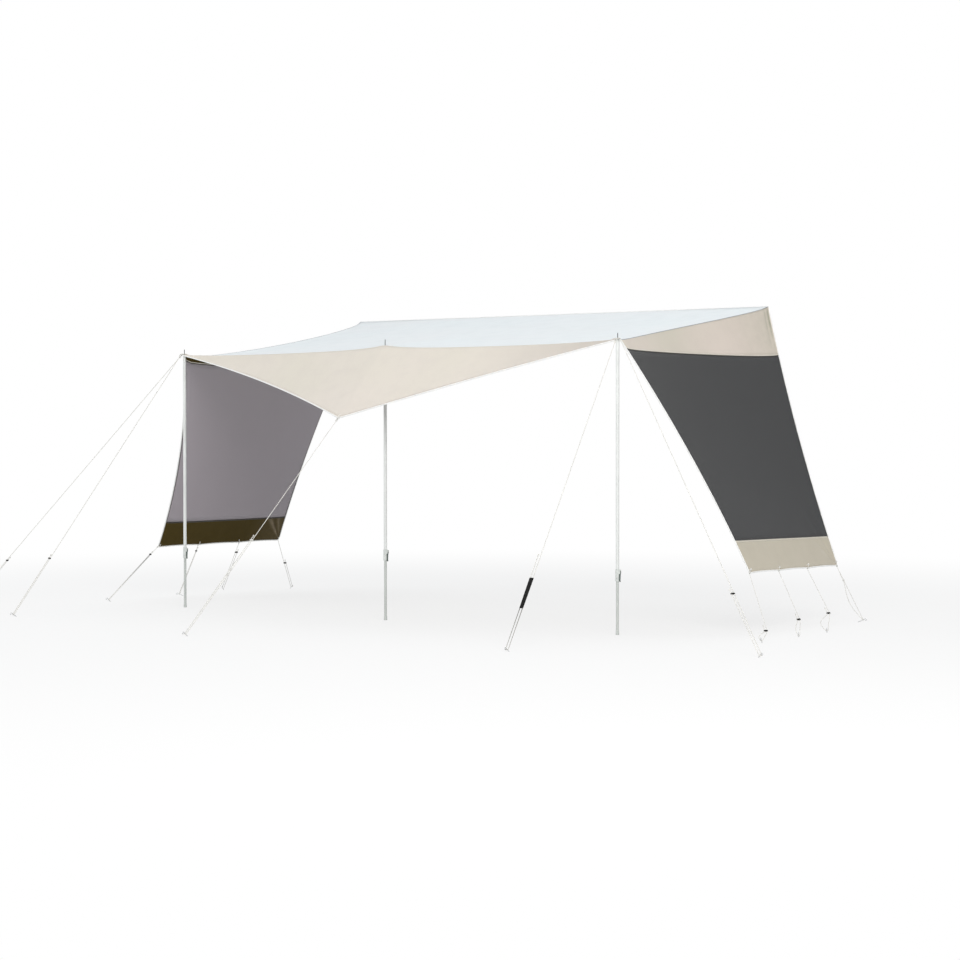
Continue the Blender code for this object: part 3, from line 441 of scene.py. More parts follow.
# Colours: of each woven cloth with its tint, of each hem or tape with its thread, and of each moulding
CLOTHS = {
    "roof": ((0.820, 0.880, 0.895), (0.835, 0.870, 0.882), {"roughness": 0.50}),
    # The darker olive inner face of the roof is painted shade of its sheltered side.
    "roof_underside_shade": ((0.30, 0.28, 0.22), (0.28, 0.26, 0.20), {}),
    # The visor darkens towards its right corner: painted shade.
    "visor": ((0.780, 0.715, 0.640), (0.745, 0.700, 0.600), {"corner_shade": 0.72}),
    # The darker olive inner face of the visor is painted shade of its sheltered side.
    "visor_underside_shade": ((0.30, 0.26, 0.20), (0.27, 0.24, 0.18), {}),
    # The gusset's darker crease colour is painted shade in its folds.
    "gusset": ((0.745, 0.655, 0.575), (0.650, 0.610, 0.505), {"crease_shading_colour": (0.300, 0.300, 0.220)}),
    # The dark olive-brown inner face of the gusset and strip is painted shade; its lighter crease colour is a painted
    # highlight on the pleats.
    "inner": (
        (0.060, 0.040, 0.004), (0.074, 0.052, 0.012),
        {"roughness": 0.60, "sheen": 0.0, "specular": 0.1, "crease_shading_colour": (0.260, 0.210, 0.140)},
    ),
    "strip": ((0.585, 0.530, 0.425), (0.570, 0.520, 0.410), {}),
}
STITCHED = {
    "roof_tape": ((0.93, 0.93, 0.92), (0.66, 0.67, 0.67)),
    "visor_hem": ((0.800, 0.740, 0.665), (0.62, 0.56, 0.48)),
    "gusset_hem": ((0.740, 0.670, 0.590), (0.53, 0.49, 0.41)),
    # The dark inner hem is painted shade, like the inner faces.
    "inner_hem": ((0.074, 0.052, 0.012), (0.12, 0.10, 0.06)),
    "strip_hem": ((0.625, 0.570, 0.465), (0.44, 0.40, 0.33)),
    # The mesh hems are lit and shaded copies of one hem: the dark outer one is partly painted shade, the lighter inner
    # one painted light.
    "mesh_hem": ((0.060, 0.062, 0.066), (0.16, 0.16, 0.16)),
    "mesh_hem_inner": ((0.110, 0.100, 0.104), (0.22, 0.21, 0.21)),
    "cream_tape": ((0.800, 0.760, 0.660), (0.56, 0.52, 0.44)),
    "dark_tape": ((0.045, 0.040, 0.032), (0.14, 0.12, 0.10)),
    "strip_tape": ((0.690, 0.645, 0.545), (0.48, 0.44, 0.37)),
}
MOULDED = {
    "runner": ((0.010, 0.010, 0.010), 0.60, (0.05, 0.05, 0.05), 0.12),
    "pale_runner": ((0.80, 0.79, 0.74), 0.42, (0.6, 0.58, 0.5)),
    "clamp": ((0.76, 0.79, 0.76), 0.48, (0.56, 0.57, 0.56)),
    "lever": ((0.130, 0.160, 0.145), 0.50, (0.26, 0.29, 0.27), 0.3),
}
ROPE_COLOURS = ((0.90, 0.88, 0.82), (0.50, 0.49, 0.43))
ROPE_DARK_COLOUR = (0.030, 0.030, 0.022)
PIPING_COLOURS = ((0.94, 0.94, 0.92), (0.76, 0.76, 0.73))
SPIKE_COLOUR = (0.060, 0.062, 0.060)
FLOOR_COLOUR = (0.86, 0.86, 0.85)
SKY_COLOUR = (0.93, 0.96, 1.0)
SKY_STRENGTH = 0.50


# Small helpers

def clamp01(value):
    return min(1.0, max(0.0, value))


def mix(first, second, share):
    return first + (second - first) * share


def arch(share):
    """A parabola that is 0 at both ends and 1 half way."""
    return 4.0 * share * (1.0 - share)


def bell(offset, width):
    return math.exp(-((offset / width) ** 2))


def swell(distance, reach):
    """Grows from 0, is 1 at the reach, and dies away past it."""
    return distance / reach * math.exp(1.0 - distance / reach)


def side_of(across):
    return "left" if across < 0.0 else "right"


def spread(count, lowest=0.0, highest=1.0):
    return [mix(lowest, highest, step / count) for step in range(count + 1)]


def round_place(radius, angle, height=0.0):
    return Vector((radius * math.cos(angle), radius * math.sin(angle), height))


def runs(points):
    """The length of a line up to each of its points."""
    lengths = [0.0]
    for first, second in zip(points, points[1:]):
        lengths.append(lengths[-1] + (second - first).length)
    return lengths


# Surfaces

def pole_line_height(across):
    middle = POLE_TOP_HEIGHTS["centre"]
    corner = POLE_TOP_HEIGHTS[side_of(across)]
    from_peak = max(0.0, abs(across) - PAD_HALF)
    from_corner = max(0.0, POLE_SPACING - PAD_HALF - abs(across))
    line = mix(middle, corner, clamp01(from_peak / (from_peak + from_corner)))
    near_peak = math.exp(-from_peak / PEAK_REACH)
    near_corner = math.exp(-from_corner / CORNER_REACH)
    return line - SEAM_DIP * (1.0 - near_peak) * (1.0 - near_corner)


def rear_edge():
    return RAIL_DEPTH - BEADING_RADIUS - CLEARANCE


def roof_half(row):
    return mix(FRONT_HALF, RAIL_HALF, row) - ROOF_EDGE_BOW * arch(row)


def roof_point(across, row):
    height = pole_line_height(across)
    if row is None:
        return Vector((across, -SEAM_AHEAD, height))
    share_across = across / FRONT_HALF
    back = mix(PAD_HALF, rear_edge(), row)
    fading = (1.0 - row) ** 2
    side = side_of(across)
    straight = mix(POLE_TOP_HEIGHTS["centre"], POLE_TOP_HEIGHTS[side], abs(share_across) ** 2)
    front_height = mix(straight, height, fading)
    depth, lean, power = ROOF_EDGE_SAGS[side]
    edge_sag = depth * arch(row) ** power * (1.0 + lean * (1.0 - 2.0 * row))
    sag = mix(ROOF_BELLY * arch(row), edge_sag, abs(share_across) ** EDGE_REACH_SHARE)
    return Vector((share_across * roof_half(row), back, mix(front_height, RAIL_HEIGHT, row) - sag))


def visor_point(across, share_down):
    reach = clamp01((POLE_SPACING - abs(across)) / (POLE_SPACING - PAD_HALF))
    sign = -1.0 if across < 0.0 else 1.0
    top = Vector((across, -SEAM_AHEAD, pole_line_height(across)))
    corner_height = pole_line_height(sign * POLE_SPACING) - VISOR_END_DROP
    corner = Vector((sign * POLE_SPACING, -SEAM_AHEAD - VISOR_END_DROP / 2.0, corner_height))
    nose = Vector((sign * NOSE_HALF_WIDTH, -NOSE_FORWARD, NOSE_HEIGHT))
    edge = corner.lerp(nose, reach)
    edge += Vector((0.0, VISOR_EDGE_BOW_BACK, VISOR_EDGE_BOW_UP)) * arch(reach)
    point = top.lerp(edge, share_down)
    point.z -= VISOR_BILLOW * arch(share_down) * arch(reach)
    return point


def panel_top(sign, row):
    return roof_point(sign * FRONT_HALF, row)


def panel_corners(sign):
    """The front and rear corners of a panel's hem."""
    front, rear = HEM_HEIGHTS[side_of(sign)]
    yield Vector((sign * PANEL_FRONT_OUT, PANEL_FRONT_BACK, front))
    yield Vector((sign * PANEL_REAR_OUT, PANEL_REAR_BACK, rear))


def panel_runs(sign):
    """Lengths of the panel's rear edge, its top edge and its hem."""
    top_front, top_rear = (panel_top(sign, row) for row in (0.0, 1.0))
    front, rear = panel_corners(sign)
    return (rear - top_rear).length, (top_rear - top_front).length, (rear - front).length


def rounded(row, share_down, row_round, down_round):
    """Carries the square corner at the rear of the hem over to a quarter of a circle."""
    along = (row - 1.0 + row_round) / row_round
    down = (share_down - 1.0 + down_round) / down_round
    if along <= 0.0 or down <= 0.0:
        return row, share_down
    new_along = along * math.sqrt(1.0 - down * down / 2.0)
    new_down = down * math.sqrt(1.0 - along * along / 2.0)
    return 1.0 + row_round * (new_along - 1.0), 1.0 + down_round * (new_down - 1.0)


def hem_scallop(row):
    """How far the hem is drawn up between two of its eyelets, as a share of the scallop."""
    for first, second in zip(HEM_LOOP_SHARES, HEM_LOOP_SHARES[1:]):
        if first < row < second:
            return arch((row - first) / (second - first))
    return 0.0


def panel_point(sign, row, share_down):
    """A blended patch between the roof's side edge, the two bowed free edges and the scalloped hem."""
    drop, _, hem_run = panel_runs(sign)
    row, share_down = rounded(row, share_down, CORNER_ROUND / hem_run, CORNER_ROUND / drop)
    low = clamp01((share_down - strip_share(row)) / (1.0 - strip_share(row)))
    share_down -= HEM_SCALLOP / drop * hem_scallop(row) * low * low
    front, rear = panel_corners(sign)
    point = panel_top(sign, row).lerp(front.lerp(rear, row), share_down)
    point.y += (1.0 - row) * PANEL_FRONT_BOWS[side_of(sign)] * arch(share_down)
    point.y -= row * PANEL_REAR_BOW * arch(share_down)
    point.x -= sign * PANEL_BILLOW * arch(share_down) * arch(row)
    point.x -= sign * panel_pleats(sign, row, share_down)
    return point


def fold_place(sign, row, share_down):
    """How far a point of the panel is down from the rail and ahead of the rear edge, and its angle and
    distance from the rear corner of the hem."""
    drop, top_run, hem_run = panel_runs(sign)
    down = drop * share_down
    up = drop - down
    ahead = mix(top_run, hem_run, share_down) * (1.0 - row)
    return down, ahead, math.atan2(ahead, up), math.hypot(up, ahead)


def panel_pleats(sign, row, share_down):
    """Depth of the folds, towards the sheltered side."""
    down, ahead, angle, distance = fold_place(sign, row, share_down)
    rail_pleat = RAIL_PLEAT_DEPTH * swell(down, RAIL_PLEAT_REACH)
    rail_pleat *= bell(ahead - RAIL_PLEAT_AHEAD, RAIL_PLEAT_WIDTH)
    ridges = sum(bell(angle - ridge, HEM_PLEAT_SPREAD_ANGLE) for ridge in HEM_PLEAT_ANGLES)
    return rail_pleat + HEM_PLEAT_DEPTH * swell(distance, HEM_PLEAT_REACH) * ridges


def panel_crease_shading(sign, row, share_down):
    """How much crease colour the cloth takes: along the creases of its folds, where it is painted shade on the gusset
    and a painted highlight on the inner faces, and a little towards the rear.
    """
    down, ahead, angle, distance = fold_place(sign, row, share_down)
    wear_and_crease_shading = REAR_TONE_SHARE * clamp01((row - REAR_TONE_START) / (1.0 - REAR_TONE_START))
    for ridge, share in zip(HEM_PLEAT_ANGLES, HEM_CREASE_SHARES):
        wear_and_crease_shading += share * bell(angle - ridge, HEM_CREASE_SPREAD_ANGLE) * swell(distance, HEM_PLEAT_REACH)
    for place, width, share in RAIL_CREASES:
        wear_and_crease_shading += share * bell(ahead - place, width) * swell(down, RAIL_CREASE_REACH)
    return clamp01(wear_and_crease_shading)


def gusset_share(sign, row):
    front, rear, curve = GUSSET_SHARES[side_of(sign)]
    return mix(front, rear, row) + curve * arch(row)


def strip_share(row):
    return mix(STRIP_FRONT_SHARE, STRIP_REAR_SHARE, row)


# Materials

class NodeTree:
    """The nodes of a material or world under construction, with short calls for those used here.

    A value that is passed on is a plain number or colour, or another node's output.
    """

    def __init__(self, owner):
        owner.use_nodes = True
        self.nodes = owner.node_tree.nodes
        self.links = owner.node_tree.links

    def add(self, kind, inputs=None, **settings):
        node = self.nodes.new(kind)
        for name, value in settings.items():
            setattr(node, name, value)
        for name, value in (inputs or {}).items():
            self.feed(node.inputs[name], value)
        return node

    def feed(self, socket, value):
        if isinstance(value, bpy.types.NodeSocket):
            self.links.new(value, socket)
        else:
            socket.default_value = (*value, 1.0) if socket.type == "RGBA" else value

    def place(self, scale=(1.0, 1.0, 1.0), which="Object", turn=(0.0, 0.0, 0.0)):
        source = self.add("ShaderNodeTexCoord").outputs[which]
        inputs = {"Vector": source, "Scale": scale, "Rotation": turn}
        return self.add("ShaderNodeMapping", inputs).outputs["Vector"]

    def part(self, place, axis):
        return self.add("ShaderNodeSeparateXYZ", {"Vector": place}).outputs[axis]

    def noise(self, place, scale, detail=3.0, roughness=0.55):
        inputs = {"Vector": place, "Scale": scale, "Detail": detail, "Roughness": roughness}
        return self.add("ShaderNodeTexNoise", inputs).outputs["Fac"]

    def wave(self, place, pitch, direction, distortion=0.0):
        inputs = {"Vector": place, "Scale": WAVE_TURN / pitch, "Distortion": distortion, "Detail": 1.0}
        settings = {"wave_type": "BANDS", "bands_direction": direction, "wave_profile": "SIN"}
        return self.add("ShaderNodeTexWave", inputs, **settings).outputs["Fac"]

    def math(self, operation, first, second=0.0, third=0.0):
        inputs = {0: first, 1: second, 2: third}
        return self.add("ShaderNodeMath", inputs, operation=operation).outputs["Value"]

    def ramp(self, value, low, high, start=0.0, end=1.0, shape="LINEAR"):
        inputs = {"Value": value, "To Min": low, "To Max": high, "From Min": start, "From Max": end}
        return self.add("ShaderNodeMapRange", inputs, interpolation_type=shape).outputs["Result"]

    def blend(self, share, first, second):
        inputs = {"Factor": share, 6: first, 7: second}
        return self.add("ShaderNodeMix", inputs, data_type="RGBA").outputs[2]

    def layer(self, value, start, end, share, under, over):
        """Lays a colour over another where a value is high, up to a share of it."""
        return self.blend(self.ramp(value, 0.0, share, start, end), under, over)

    def seen_directly(self):
        """1 for rays that show the background: straight, in a gloss, or through glass."""
        path = self.add("ShaderNodeLightPath").outputs
        seen = self.math("MAXIMUM", path["Is Camera Ray"], path["Is Glossy Ray"])
        return self.math("MAXIMUM", seen, path["Is Transmission Ray"])

    def show(self, output, share, first, second):
        blend = self.add("ShaderNodeMixShader", {"Fac": share, 1: first, 2: second})
        self.feed(self.nodes[output].inputs["Surface"], blend.outputs["Shader"])


class Finish(NodeTree):
    """A material with one glossy and diffuse shader."""

    def __init__(self, name, roughness, metallic=0.0, sheen=0.0, coat=0.0, alpha=1.0, specular=0.5):
        self.material = bpy.data.materials.new(name)
        super().__init__(self.material)
        self.shader = self.nodes["Principled BSDF"]
        values = {
            "Roughness": roughness, "Metallic": metallic, "Alpha": alpha, "Specular IOR Level": specular,
            "Sheen Weight": sheen, "Sheen Roughness": SHEEN_ROUGHNESS, "Coat Weight": coat,
        }
        for socket, value in values.items():
            self.feed(self.shader.inputs[socket], value)

    def done(self, colour, height, strength, distance, roughness=None):
        """Connects the colour, the bump and, where it varies, the roughness."""
        bump = self.add("ShaderNodeBump", {"Height": height, "Strength": strength, "Distance": distance})
        self.feed(self.shader.inputs["Normal"], bump.outputs["Normal"])
        self.feed(self.shader.inputs["Base Color"], colour)
        if roughness is not None:
            self.feed(self.shader.inputs["Roughness"], roughness)
        return self.material


def darker(colour, share):
    return tuple(channel * share for channel in colour)


def cloth_finish(name, colour, tint, roughness=0.62, sheen=0.15, specular=0.5, corner_shade=None, crease_shading_colour=None):
    """Coated woven polyester: a plain weave, slow shifts of colour, painted light and shade along the creases, and
    painted shade at one corner.
    """
    finish = Finish(name, roughness, sheen=sheen, specular=specular)
    metric = finish.place(which="UV")
    solid = finish.place()
    weave = finish.math("MULTIPLY", *(finish.wave(metric, CLOTH_PITCH, axis) for axis in "XY"))
    soil = finish.noise(solid, 7.0, 5.0, 0.65)
    slack = finish.noise(solid, 16.0)
    look = finish.layer(finish.noise(solid, 0.9, 2.0), 0.3, 0.7, 1.0, colour, tint)
    look = finish.layer(soil, 0.45, 0.85, 0.5, look, darker(colour, 0.88))
    look = finish.layer(weave, 0.0, 1.0, 0.22, look, darker(colour, 0.78))
    # Painted shade: the cloth darkens towards the right pole corner.
    if corner_shade:
        across = finish.part(solid, "X")
        look = finish.layer(across, CORNER_SHADE_START, POLE_SPACING, 1.0, look, darker(colour, corner_shade))
    # Painted light and shade along the fold creases: darker on the gusset, lighter on the inner faces.
    if crease_shading_colour:
        wear_and_crease_shading = finish.add("ShaderNodeAttribute", attribute_name="wear_and_crease_shading").outputs["Fac"]
        patchy = finish.math("MULTIPLY", wear_and_crease_shading, finish.ramp(slack, 0.75, 1.10, 0.35, 0.65))
        look = finish.blend(patchy, look, crease_shading_colour)
    height = finish.math("ADD", finish.math("MULTIPLY", weave, 0.12), finish.math("MULTIPLY", slack, 0.6))
    return finish.done(look, height, 0.22, 0.0016, finish.ramp(soil, roughness - 0.06, roughness + 0.08))


def mesh_finish(name, colour, alpha):
    """See-through shade mesh: coated yarns in an open square weave."""
    finish = Finish(name, 0.62, alpha=alpha, specular=0.1)
    metric = finish.place(which="UV")
    yarns = finish.math("MAXIMUM", *(finish.wave(metric, MESH_PITCH, axis) for axis in "XY"))
    slow = finish.noise(finish.place(), 0.8, 2.0)
    tinted = finish.layer(slow, 0.3, 0.7, 1.0, colour, darker(colour, 0.90))
    look = finish.layer(yarns, 0.0, 1.0, 0.30, darker(colour, 0.85), tinted)
    return finish.done(look, yarns, 0.20, 0.0006, finish.ramp(yarns, 0.72, 0.55))


def stitched_finish(name, colour, thread):
    """A folded hem or tape with a row of stitches near each long edge. V runs across it from 0 to 1."""
    finish = Finish(name, 0.60, specular=0.3)
    metric = finish.place(which="UV")
    along = finish.math("MULTIPLY", finish.part(metric, "X"), 1.0 / STITCH_LENGTH)
    dash = finish.math("LESS_THAN", finish.math("FRACT", along), STITCH_SHARE)
    out = finish.math("ABSOLUTE", finish.math("SUBTRACT", finish.part(metric, "Y"), 0.5))
    off_row = finish.math("ABSOLUTE", finish.math("SUBTRACT", out, STITCH_ROW_OUT))
    rows = finish.math("LESS_THAN", off_row, STITCH_HALF_WIDTH)
    stitch = finish.math("MULTIPLY", rows, dash)
    soil = finish.noise(finish.place(), 22.0, 4.0)
    look = finish.layer(soil, 0.4, 0.9, 0.7, colour, darker(colour, 0.86))
    look = finish.layer(finish.wave(metric, CLOTH_PITCH, "X"), 0.0, 1.0, 0.15, look, darker(colour, 0.8))
    sunk = finish.math("SUBTRACT", stitch, finish.math("MULTIPLY", rows, 0.6))
    height = finish.math("ADD", sunk, finish.math("MULTIPLY", soil, 0.2))
    return finish.done(finish.blend(stitch, look, thread), height, 0.5, 0.0008)


def piping_finish():
    """Welted white piping: a fine twist under a smooth coated skin, a little soiled."""
    finish = Finish("piping_skin", 0.38, coat=0.15)
    solid = finish.place()
    soil = finish.noise(solid, 30.0, 4.0)
    look = finish.layer(soil, 0.50, 0.90, 0.7, *PIPING_COLOURS)
    return finish.done(look, finish.noise(solid, 240.0, 2.0), 0.3, 0.0006, finish.ramp(soil, 0.30, 0.50))


def rope_finish(name, colour, tracer, darkening=None):
    """Braided rope: crossing diagonal strands with one darker tracer yarn.

    A darkened one turns dark at the first height given, and grows pale again down to the second.
    """
    finish = Finish(name, 0.80, specular=0.3)
    solid = finish.place()
    turns = ((0.6, 0.5, 0.9), (-0.7, 0.4, -0.5))
    strands = (finish.wave(finish.place(turn=turn), BRAID_PITCH, "DIAGONAL", 0.6) for turn in turns)
    braid = finish.math("MAXIMUM", *strands)
    look = finish.layer(finish.noise(solid, 14.0, 4.0), 0.4, 0.9, 0.7, colour, darker(colour, 0.86))
    look = finish.blend(finish.ramp(braid, 0.5, 0.0), look, darker(colour, 0.72))
    marks = finish.math("GREATER_THAN", finish.noise(solid, 260.0, 0.0), 0.66)
    look = finish.blend(finish.math("MULTIPLY", marks, 0.35), look, tracer)
    if darkening:
        top, bottom = darkening
        height = finish.part(solid, "Z")
        below = finish.math("LESS_THAN", height, top)
        dark_share = finish.math("MULTIPLY", below, finish.ramp(height, 0.0, 1.0, bottom, top))
        patches = finish.ramp(finish.noise(solid, 90.0), 0.8, 1.0, 0.35, 0.60)
        look = finish.blend(finish.math("MULTIPLY", dark_share, patches), look, ROPE_DARK_COLOUR)
    return finish.done(look, braid, 0.7, 0.0008)


def plastic_finish(name, colour, roughness, wear_and_crease_shading, specular=0.5):
    """Moulded plastic: a fine grain, slow mottling and lighter scuffs."""
    finish = Finish(name, roughness, specular=specular)
    solid = finish.place()
    scuffs = finish.noise(finish.place((1.0, 1.0, 0.25)), 120.0, 5.0, 0.7)
    look = finish.layer(finish.noise(solid, 40.0), 0.35, 0.7, 1.0, colour, darker(colour, 0.82))
    look = finish.layer(scuffs, 0.60, 0.80, 0.6, look, wear_and_crease_shading)
    rough = finish.ramp(scuffs, roughness - 0.08, roughness + 0.15)
    return finish.done(look, finish.noise(solid, 900.0, 2.0), 0.12, 0.0003, rough)


def lacquer_finish(name, colour, scratch):
    """Lacquered aluminium tube: drawn lines, small scratches, and a bare steel spike on its axis."""
    finish = Finish(name, 0.34, metallic=0.25, coat=0.3)
    drawn = finish.noise(finish.place((900.0, 900.0, 2.0)), 1.0)
    scratches = finish.noise(finish.place((160.0, 160.0, 14.0)), 1.0, 5.0, 0.75)
    solid = finish.place()
    look = finish.layer(finish.noise(solid, 5.0), 0.35, 0.7, 1.0, colour, darker(colour, 0.90))
    look = finish.layer(scratches, 0.66, 0.80, 0.8, look, scratch)
    across = finish.math("WRAP", finish.part(solid, "X"), POLE_SPACING / 2.0, -POLE_SPACING / 2.0)
    squares = [finish.math("MULTIPLY", value, value) for value in (across, finish.part(solid, "Y"))]
    off_axis = finish.math("SQRT", finish.math("ADD", *squares))
    look = finish.blend(finish.math("LESS_THAN", off_axis, SPIKE_MASK_RADIUS), look, SPIKE_COLOUR)
    return finish.done(look, drawn, 0.10, 0.0004, finish.ramp(drawn, 0.26, 0.44))


def steel_finish(name, colour, roughness, tarnish):
    finish = Finish(name, roughness, metallic=1.0)
    solid = finish.place()
    spangle = finish.noise(solid, 260.0)
    darkening = finish.noise(solid, 55.0, 4.0)
    look = finish.layer(spangle, 0.3, 0.7, 1.0, colour, darker(colour, 0.75))
    look = finish.layer(darkening, 0.55, 0.8, 0.7, look, tarnish)
    return finish.done(look, spangle, 0.15, 0.0003, finish.ramp(darkening, roughness - 0.05, roughness + 0.2))


def floor_finish():
    """Pale floor that reads white to the camera and still takes the shadow of what stands on it."""
    finish = Finish("pale_floor", 0.9)
    finish.feed(finish.shader.inputs["Base Color"], FLOOR_COLOUR)
    glow = finish.add("ShaderNodeEmission", {"Color": WHITE})
    reach = finish.add("ShaderNodeVectorMath", {0: finish.place()}, operation="LENGTH").outputs["Value"]
    fade = finish.ramp(reach, 0.74, 1.0, 4.0, 11.0, "SMOOTHSTEP")
    share = finish.math("MULTIPLY", finish.seen_directly(), fade)
    finish.show("Material Output", share, finish.shader.outputs["BSDF"], glow.outputs["Emission"])
    return finish.material


def make_finishes():
    """All finishes by the keys that the pieces name them with."""
    finishes = {
        # The two mesh finishes are lit and shaded copies of one mesh cloth: the dark outer face is partly its own
        # colour and partly painted shade seen through it, the lighter inner face is painted light coming through the
        # mesh.
        "mesh": mesh_finish("mesh_yarn", (0.026, 0.028, 0.029), MESH_COVER_OUTER),
        "mesh_inner": mesh_finish("mesh_inner_yarn", (0.640, 0.575, 0.625), MESH_COVER_INNER),
        "piping": piping_finish(),
        "grey_piping": plastic_finish("grey_piping_skin", (0.45, 0.47, 0.49), 0.5, (0.6, 0.6, 0.6)),
        "rope": rope_finish("rope_braid", *ROPE_COLOURS),
        # The eye knots take a whiter copy of the rope's braid: a painted highlight of the lit rope at its eye.
        "knot": rope_finish("knot_lit_braid", (0.97, 0.96, 0.92), (0.80, 0.78, 0.72)),
        "thread": plastic_finish("whipping_thread", (0.55, 0.55, 0.52), 0.7, (0.6, 0.6, 0.6)),
        "peg": steel_finish("peg_zinc", (0.72, 0.73, 0.74), 0.32, (0.48, 0.46, 0.42)),
        "eyelet": steel_finish("eyelet_plate", (0.90, 0.89, 0.86), 0.28, (0.62, 0.60, 0.52)),
        # The two lacquers are lit and shaded copies of one lacquer: the darker lower one is painted shade, the upper
        # one the lighter copy.
        "tube": lacquer_finish("tube_lacquer", (0.82, 0.84, 0.82), (0.58, 0.60, 0.59)),
        "lower_tube": lacquer_finish("lower_tube_lacquer", (0.60, 0.63, 0.60), (0.38, 0.40, 0.39)),
    }
    for key, (colour, tint, options) in CLOTHS.items():
        finishes[key] = cloth_finish(key + "_weave", colour, tint, **options)
    for key, colours in STITCHED.items():
        finishes[key] = stitched_finish(key + "_weave", *colours)
    for key, values in MOULDED.items():
        finishes[key] = plastic_finish(key + "_moulding", *values)
    for key, darkening in ROPE_DARK_STRETCHES.items():
        finishes["rope_" + key] = rope_finish("stained_rope_" + key, *ROPE_COLOURS, darkening)
    return finishes


# Meshes and curves

def place_object(name, data, finish=None, body="canopy", slot=None):
    item = bpy.data.objects.new(name, data)
    bpy.context.scene.collection.objects.link(item)
    if finish:
        data.materials.append(FINISHES[finish])
    if body is not None:
        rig.ride(item, body)
    if slot:
        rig.slot(item, slot)
    return item


def smooth_mesh(name, points, faces):
    mesh = bpy.data.meshes.new(name)
    mesh.from_pydata(points, [], faces)
    mesh.polygons.foreach_set("use_smooth", [True] * len(faces))
    return mesh


def baked(item):
    """The mesh of a curve object, which is taken away."""
    view = bpy.context.evaluated_depsgraph_get()
    mesh = bpy.data.meshes.new_from_object(item.evaluated_get(view))
    curve = item.data
    bpy.data.objects.remove(item, do_unlink=True)
    bpy.data.curves.remove(curve)
    return mesh


def grid_mesh(name, grid, share_across=False, wear_and_crease_shading=None):
    """A quad grid with a metric UV map: U along the rows of the grid, V down its columns."""
    rows = len(grid[0])
    along = runs([column[rows // 2] for column in grid])
    down = runs(grid[len(grid) // 2])
    if share_across:
        down = [value / down[-1] for value in down]
    faces = []
    for start in range(0, (len(grid) - 1) * rows, rows):
        for first in range(start, start + rows - 1):
            faces.append((first, first + rows, first + rows + 1, first + 1))
    mesh = smooth_mesh(name, [point for column in grid for point in column], faces)
    layer = mesh.uv_layers.new(name="metric")
    for loop, corner in zip(mesh.loops, layer.data):
        column, row = divmod(loop.vertex_index, rows)
        corner.uv = (along[column], down[row])
    if wear_and_crease_shading:
        mesh.attributes.new("wear_and_crease_shading", "FLOAT", "POINT").data.foreach_set("value", wear_and_crease_shading)
    return mesh


def grid_area(grid):
    total = 0.0
    for first, second in zip(grid, grid[1:]):
        for a, b, c, d in zip(first, second, second[1:], first[1:]):
            total += ((c - a).cross(d - b)).length / 2.0
    return total


def thicken(item, thickness):
    body = item.modifiers.new("Thickness", "SOLIDIFY")
    body.thickness = thickness
    body.offset = 0.0
    return body


def add_trim(name, grid, *looks):
    """A thin sewn-on band of cloth, whose points lie in the middle of its thickness."""
    trim = place_object(name, grid_mesh(name, grid, share_across=True), looks[0])
    for finish in looks[1:]:
        trim.data.materials.append(FINISHES[finish])
    thicken(trim, HEM_THICKNESS)
    return trim


def add_sheet(name, grid, outer, inner, node, slot, held, thickness, rests_on, wear_and_crease_shading=None):
    """A sheet of cloth. Its flat size is the longest run across it and down it."""
    sheet = place_object(name, grid_mesh(name, grid, wear_and_crease_shading=wear_and_crease_shading), outer, slot=slot)
    sheet.data.materials.append(FINISHES[inner])
    body = thicken(sheet, thickness)
    body.material_offset = 1
    body.material_offset_rim = 0
    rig.replaces(sheet, node)
    width = max(runs([column[row] for column in grid])[-1] for row in range(len(grid[0])))
    length = max(runs(column)[-1] for column in grid)
    area = max(min(grid_area(grid), width * length), SMALLEST_AREA_SHARE * width * length)
    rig.sheet(sheet, flat=(width, length), held=held, rests_on=rests_on, area=area)


def add_spline(curve, points, closed):
    spline = curve.splines.new("POLY")
    spline.points.add(len(points) - 1)
    for point, place in zip(spline.points, points):
        point.co = (*place, 1.0)
    spline.use_cyclic_u = closed
    return spline


def add_tube(name, points, radius, finish, sides=3, closed=False, body="canopy"):
    curve = bpy.data.curves.new(name, "CURVE")
    curve.dimensions = "3D"
    curve.bevel_depth = radius
    curve.bevel_resolution = sides
    curve.use_fill_caps = True
    add_spline(curve, points, closed).use_smooth = True
    return place_object(name, curve, finish, body)


def beside(line, inner):
    """Each point of a line in the cloth, with the direction into the cloth there and the cloth's normal."""
    for index, (place, inside) in enumerate(zip(line, inner)):
        ahead = line[min(len(line) - 1, index + 1)] - line[max(0, index - 1)]
        inward = (inside - place).normalized()
        yield place, inward, ahead.normalized().cross(inward).normalized()


def add_band(name, edge, inner, width, looks):
    """A hem wrapped round an edge, in one cloth on its front and one on its back.

    It takes the points of the edge, and those of the cloth a little way in.
    """
    grid = []
    for place, inward, normal in beside(edge, inner):
        lift = normal * TRIM_LIFT
        front = [place + inward * width * share + lift for share in (1.0, 0.5, 0.0)]
        back = [place + inward * width * share - lift for share in (0.0, 0.5, 1.0)]
        grid.append(front + [place - inward * TRIM_LIFT] + back)
    band = add_trim(name, grid, *looks)
    rows = len(grid[0]) - 1
    for index, polygon in enumerate(band.data.polygons):
        polygon.material_index = 1 if index % rows >= rows // 2 else 0


def add_tape(name, line, inner, reaches, facing, finish):
    """A tape sewn flat on the face of the cloth that looks one way, at these distances in from a line."""
    grid = []
    for place, inward, normal in beside(line, inner):
        if normal.dot(facing) < 0.0:
            normal.negate()
        grid.append([place + inward * reach + normal * TRIM_LIFT for reach in reaches])
    add_trim(name, grid, finish)


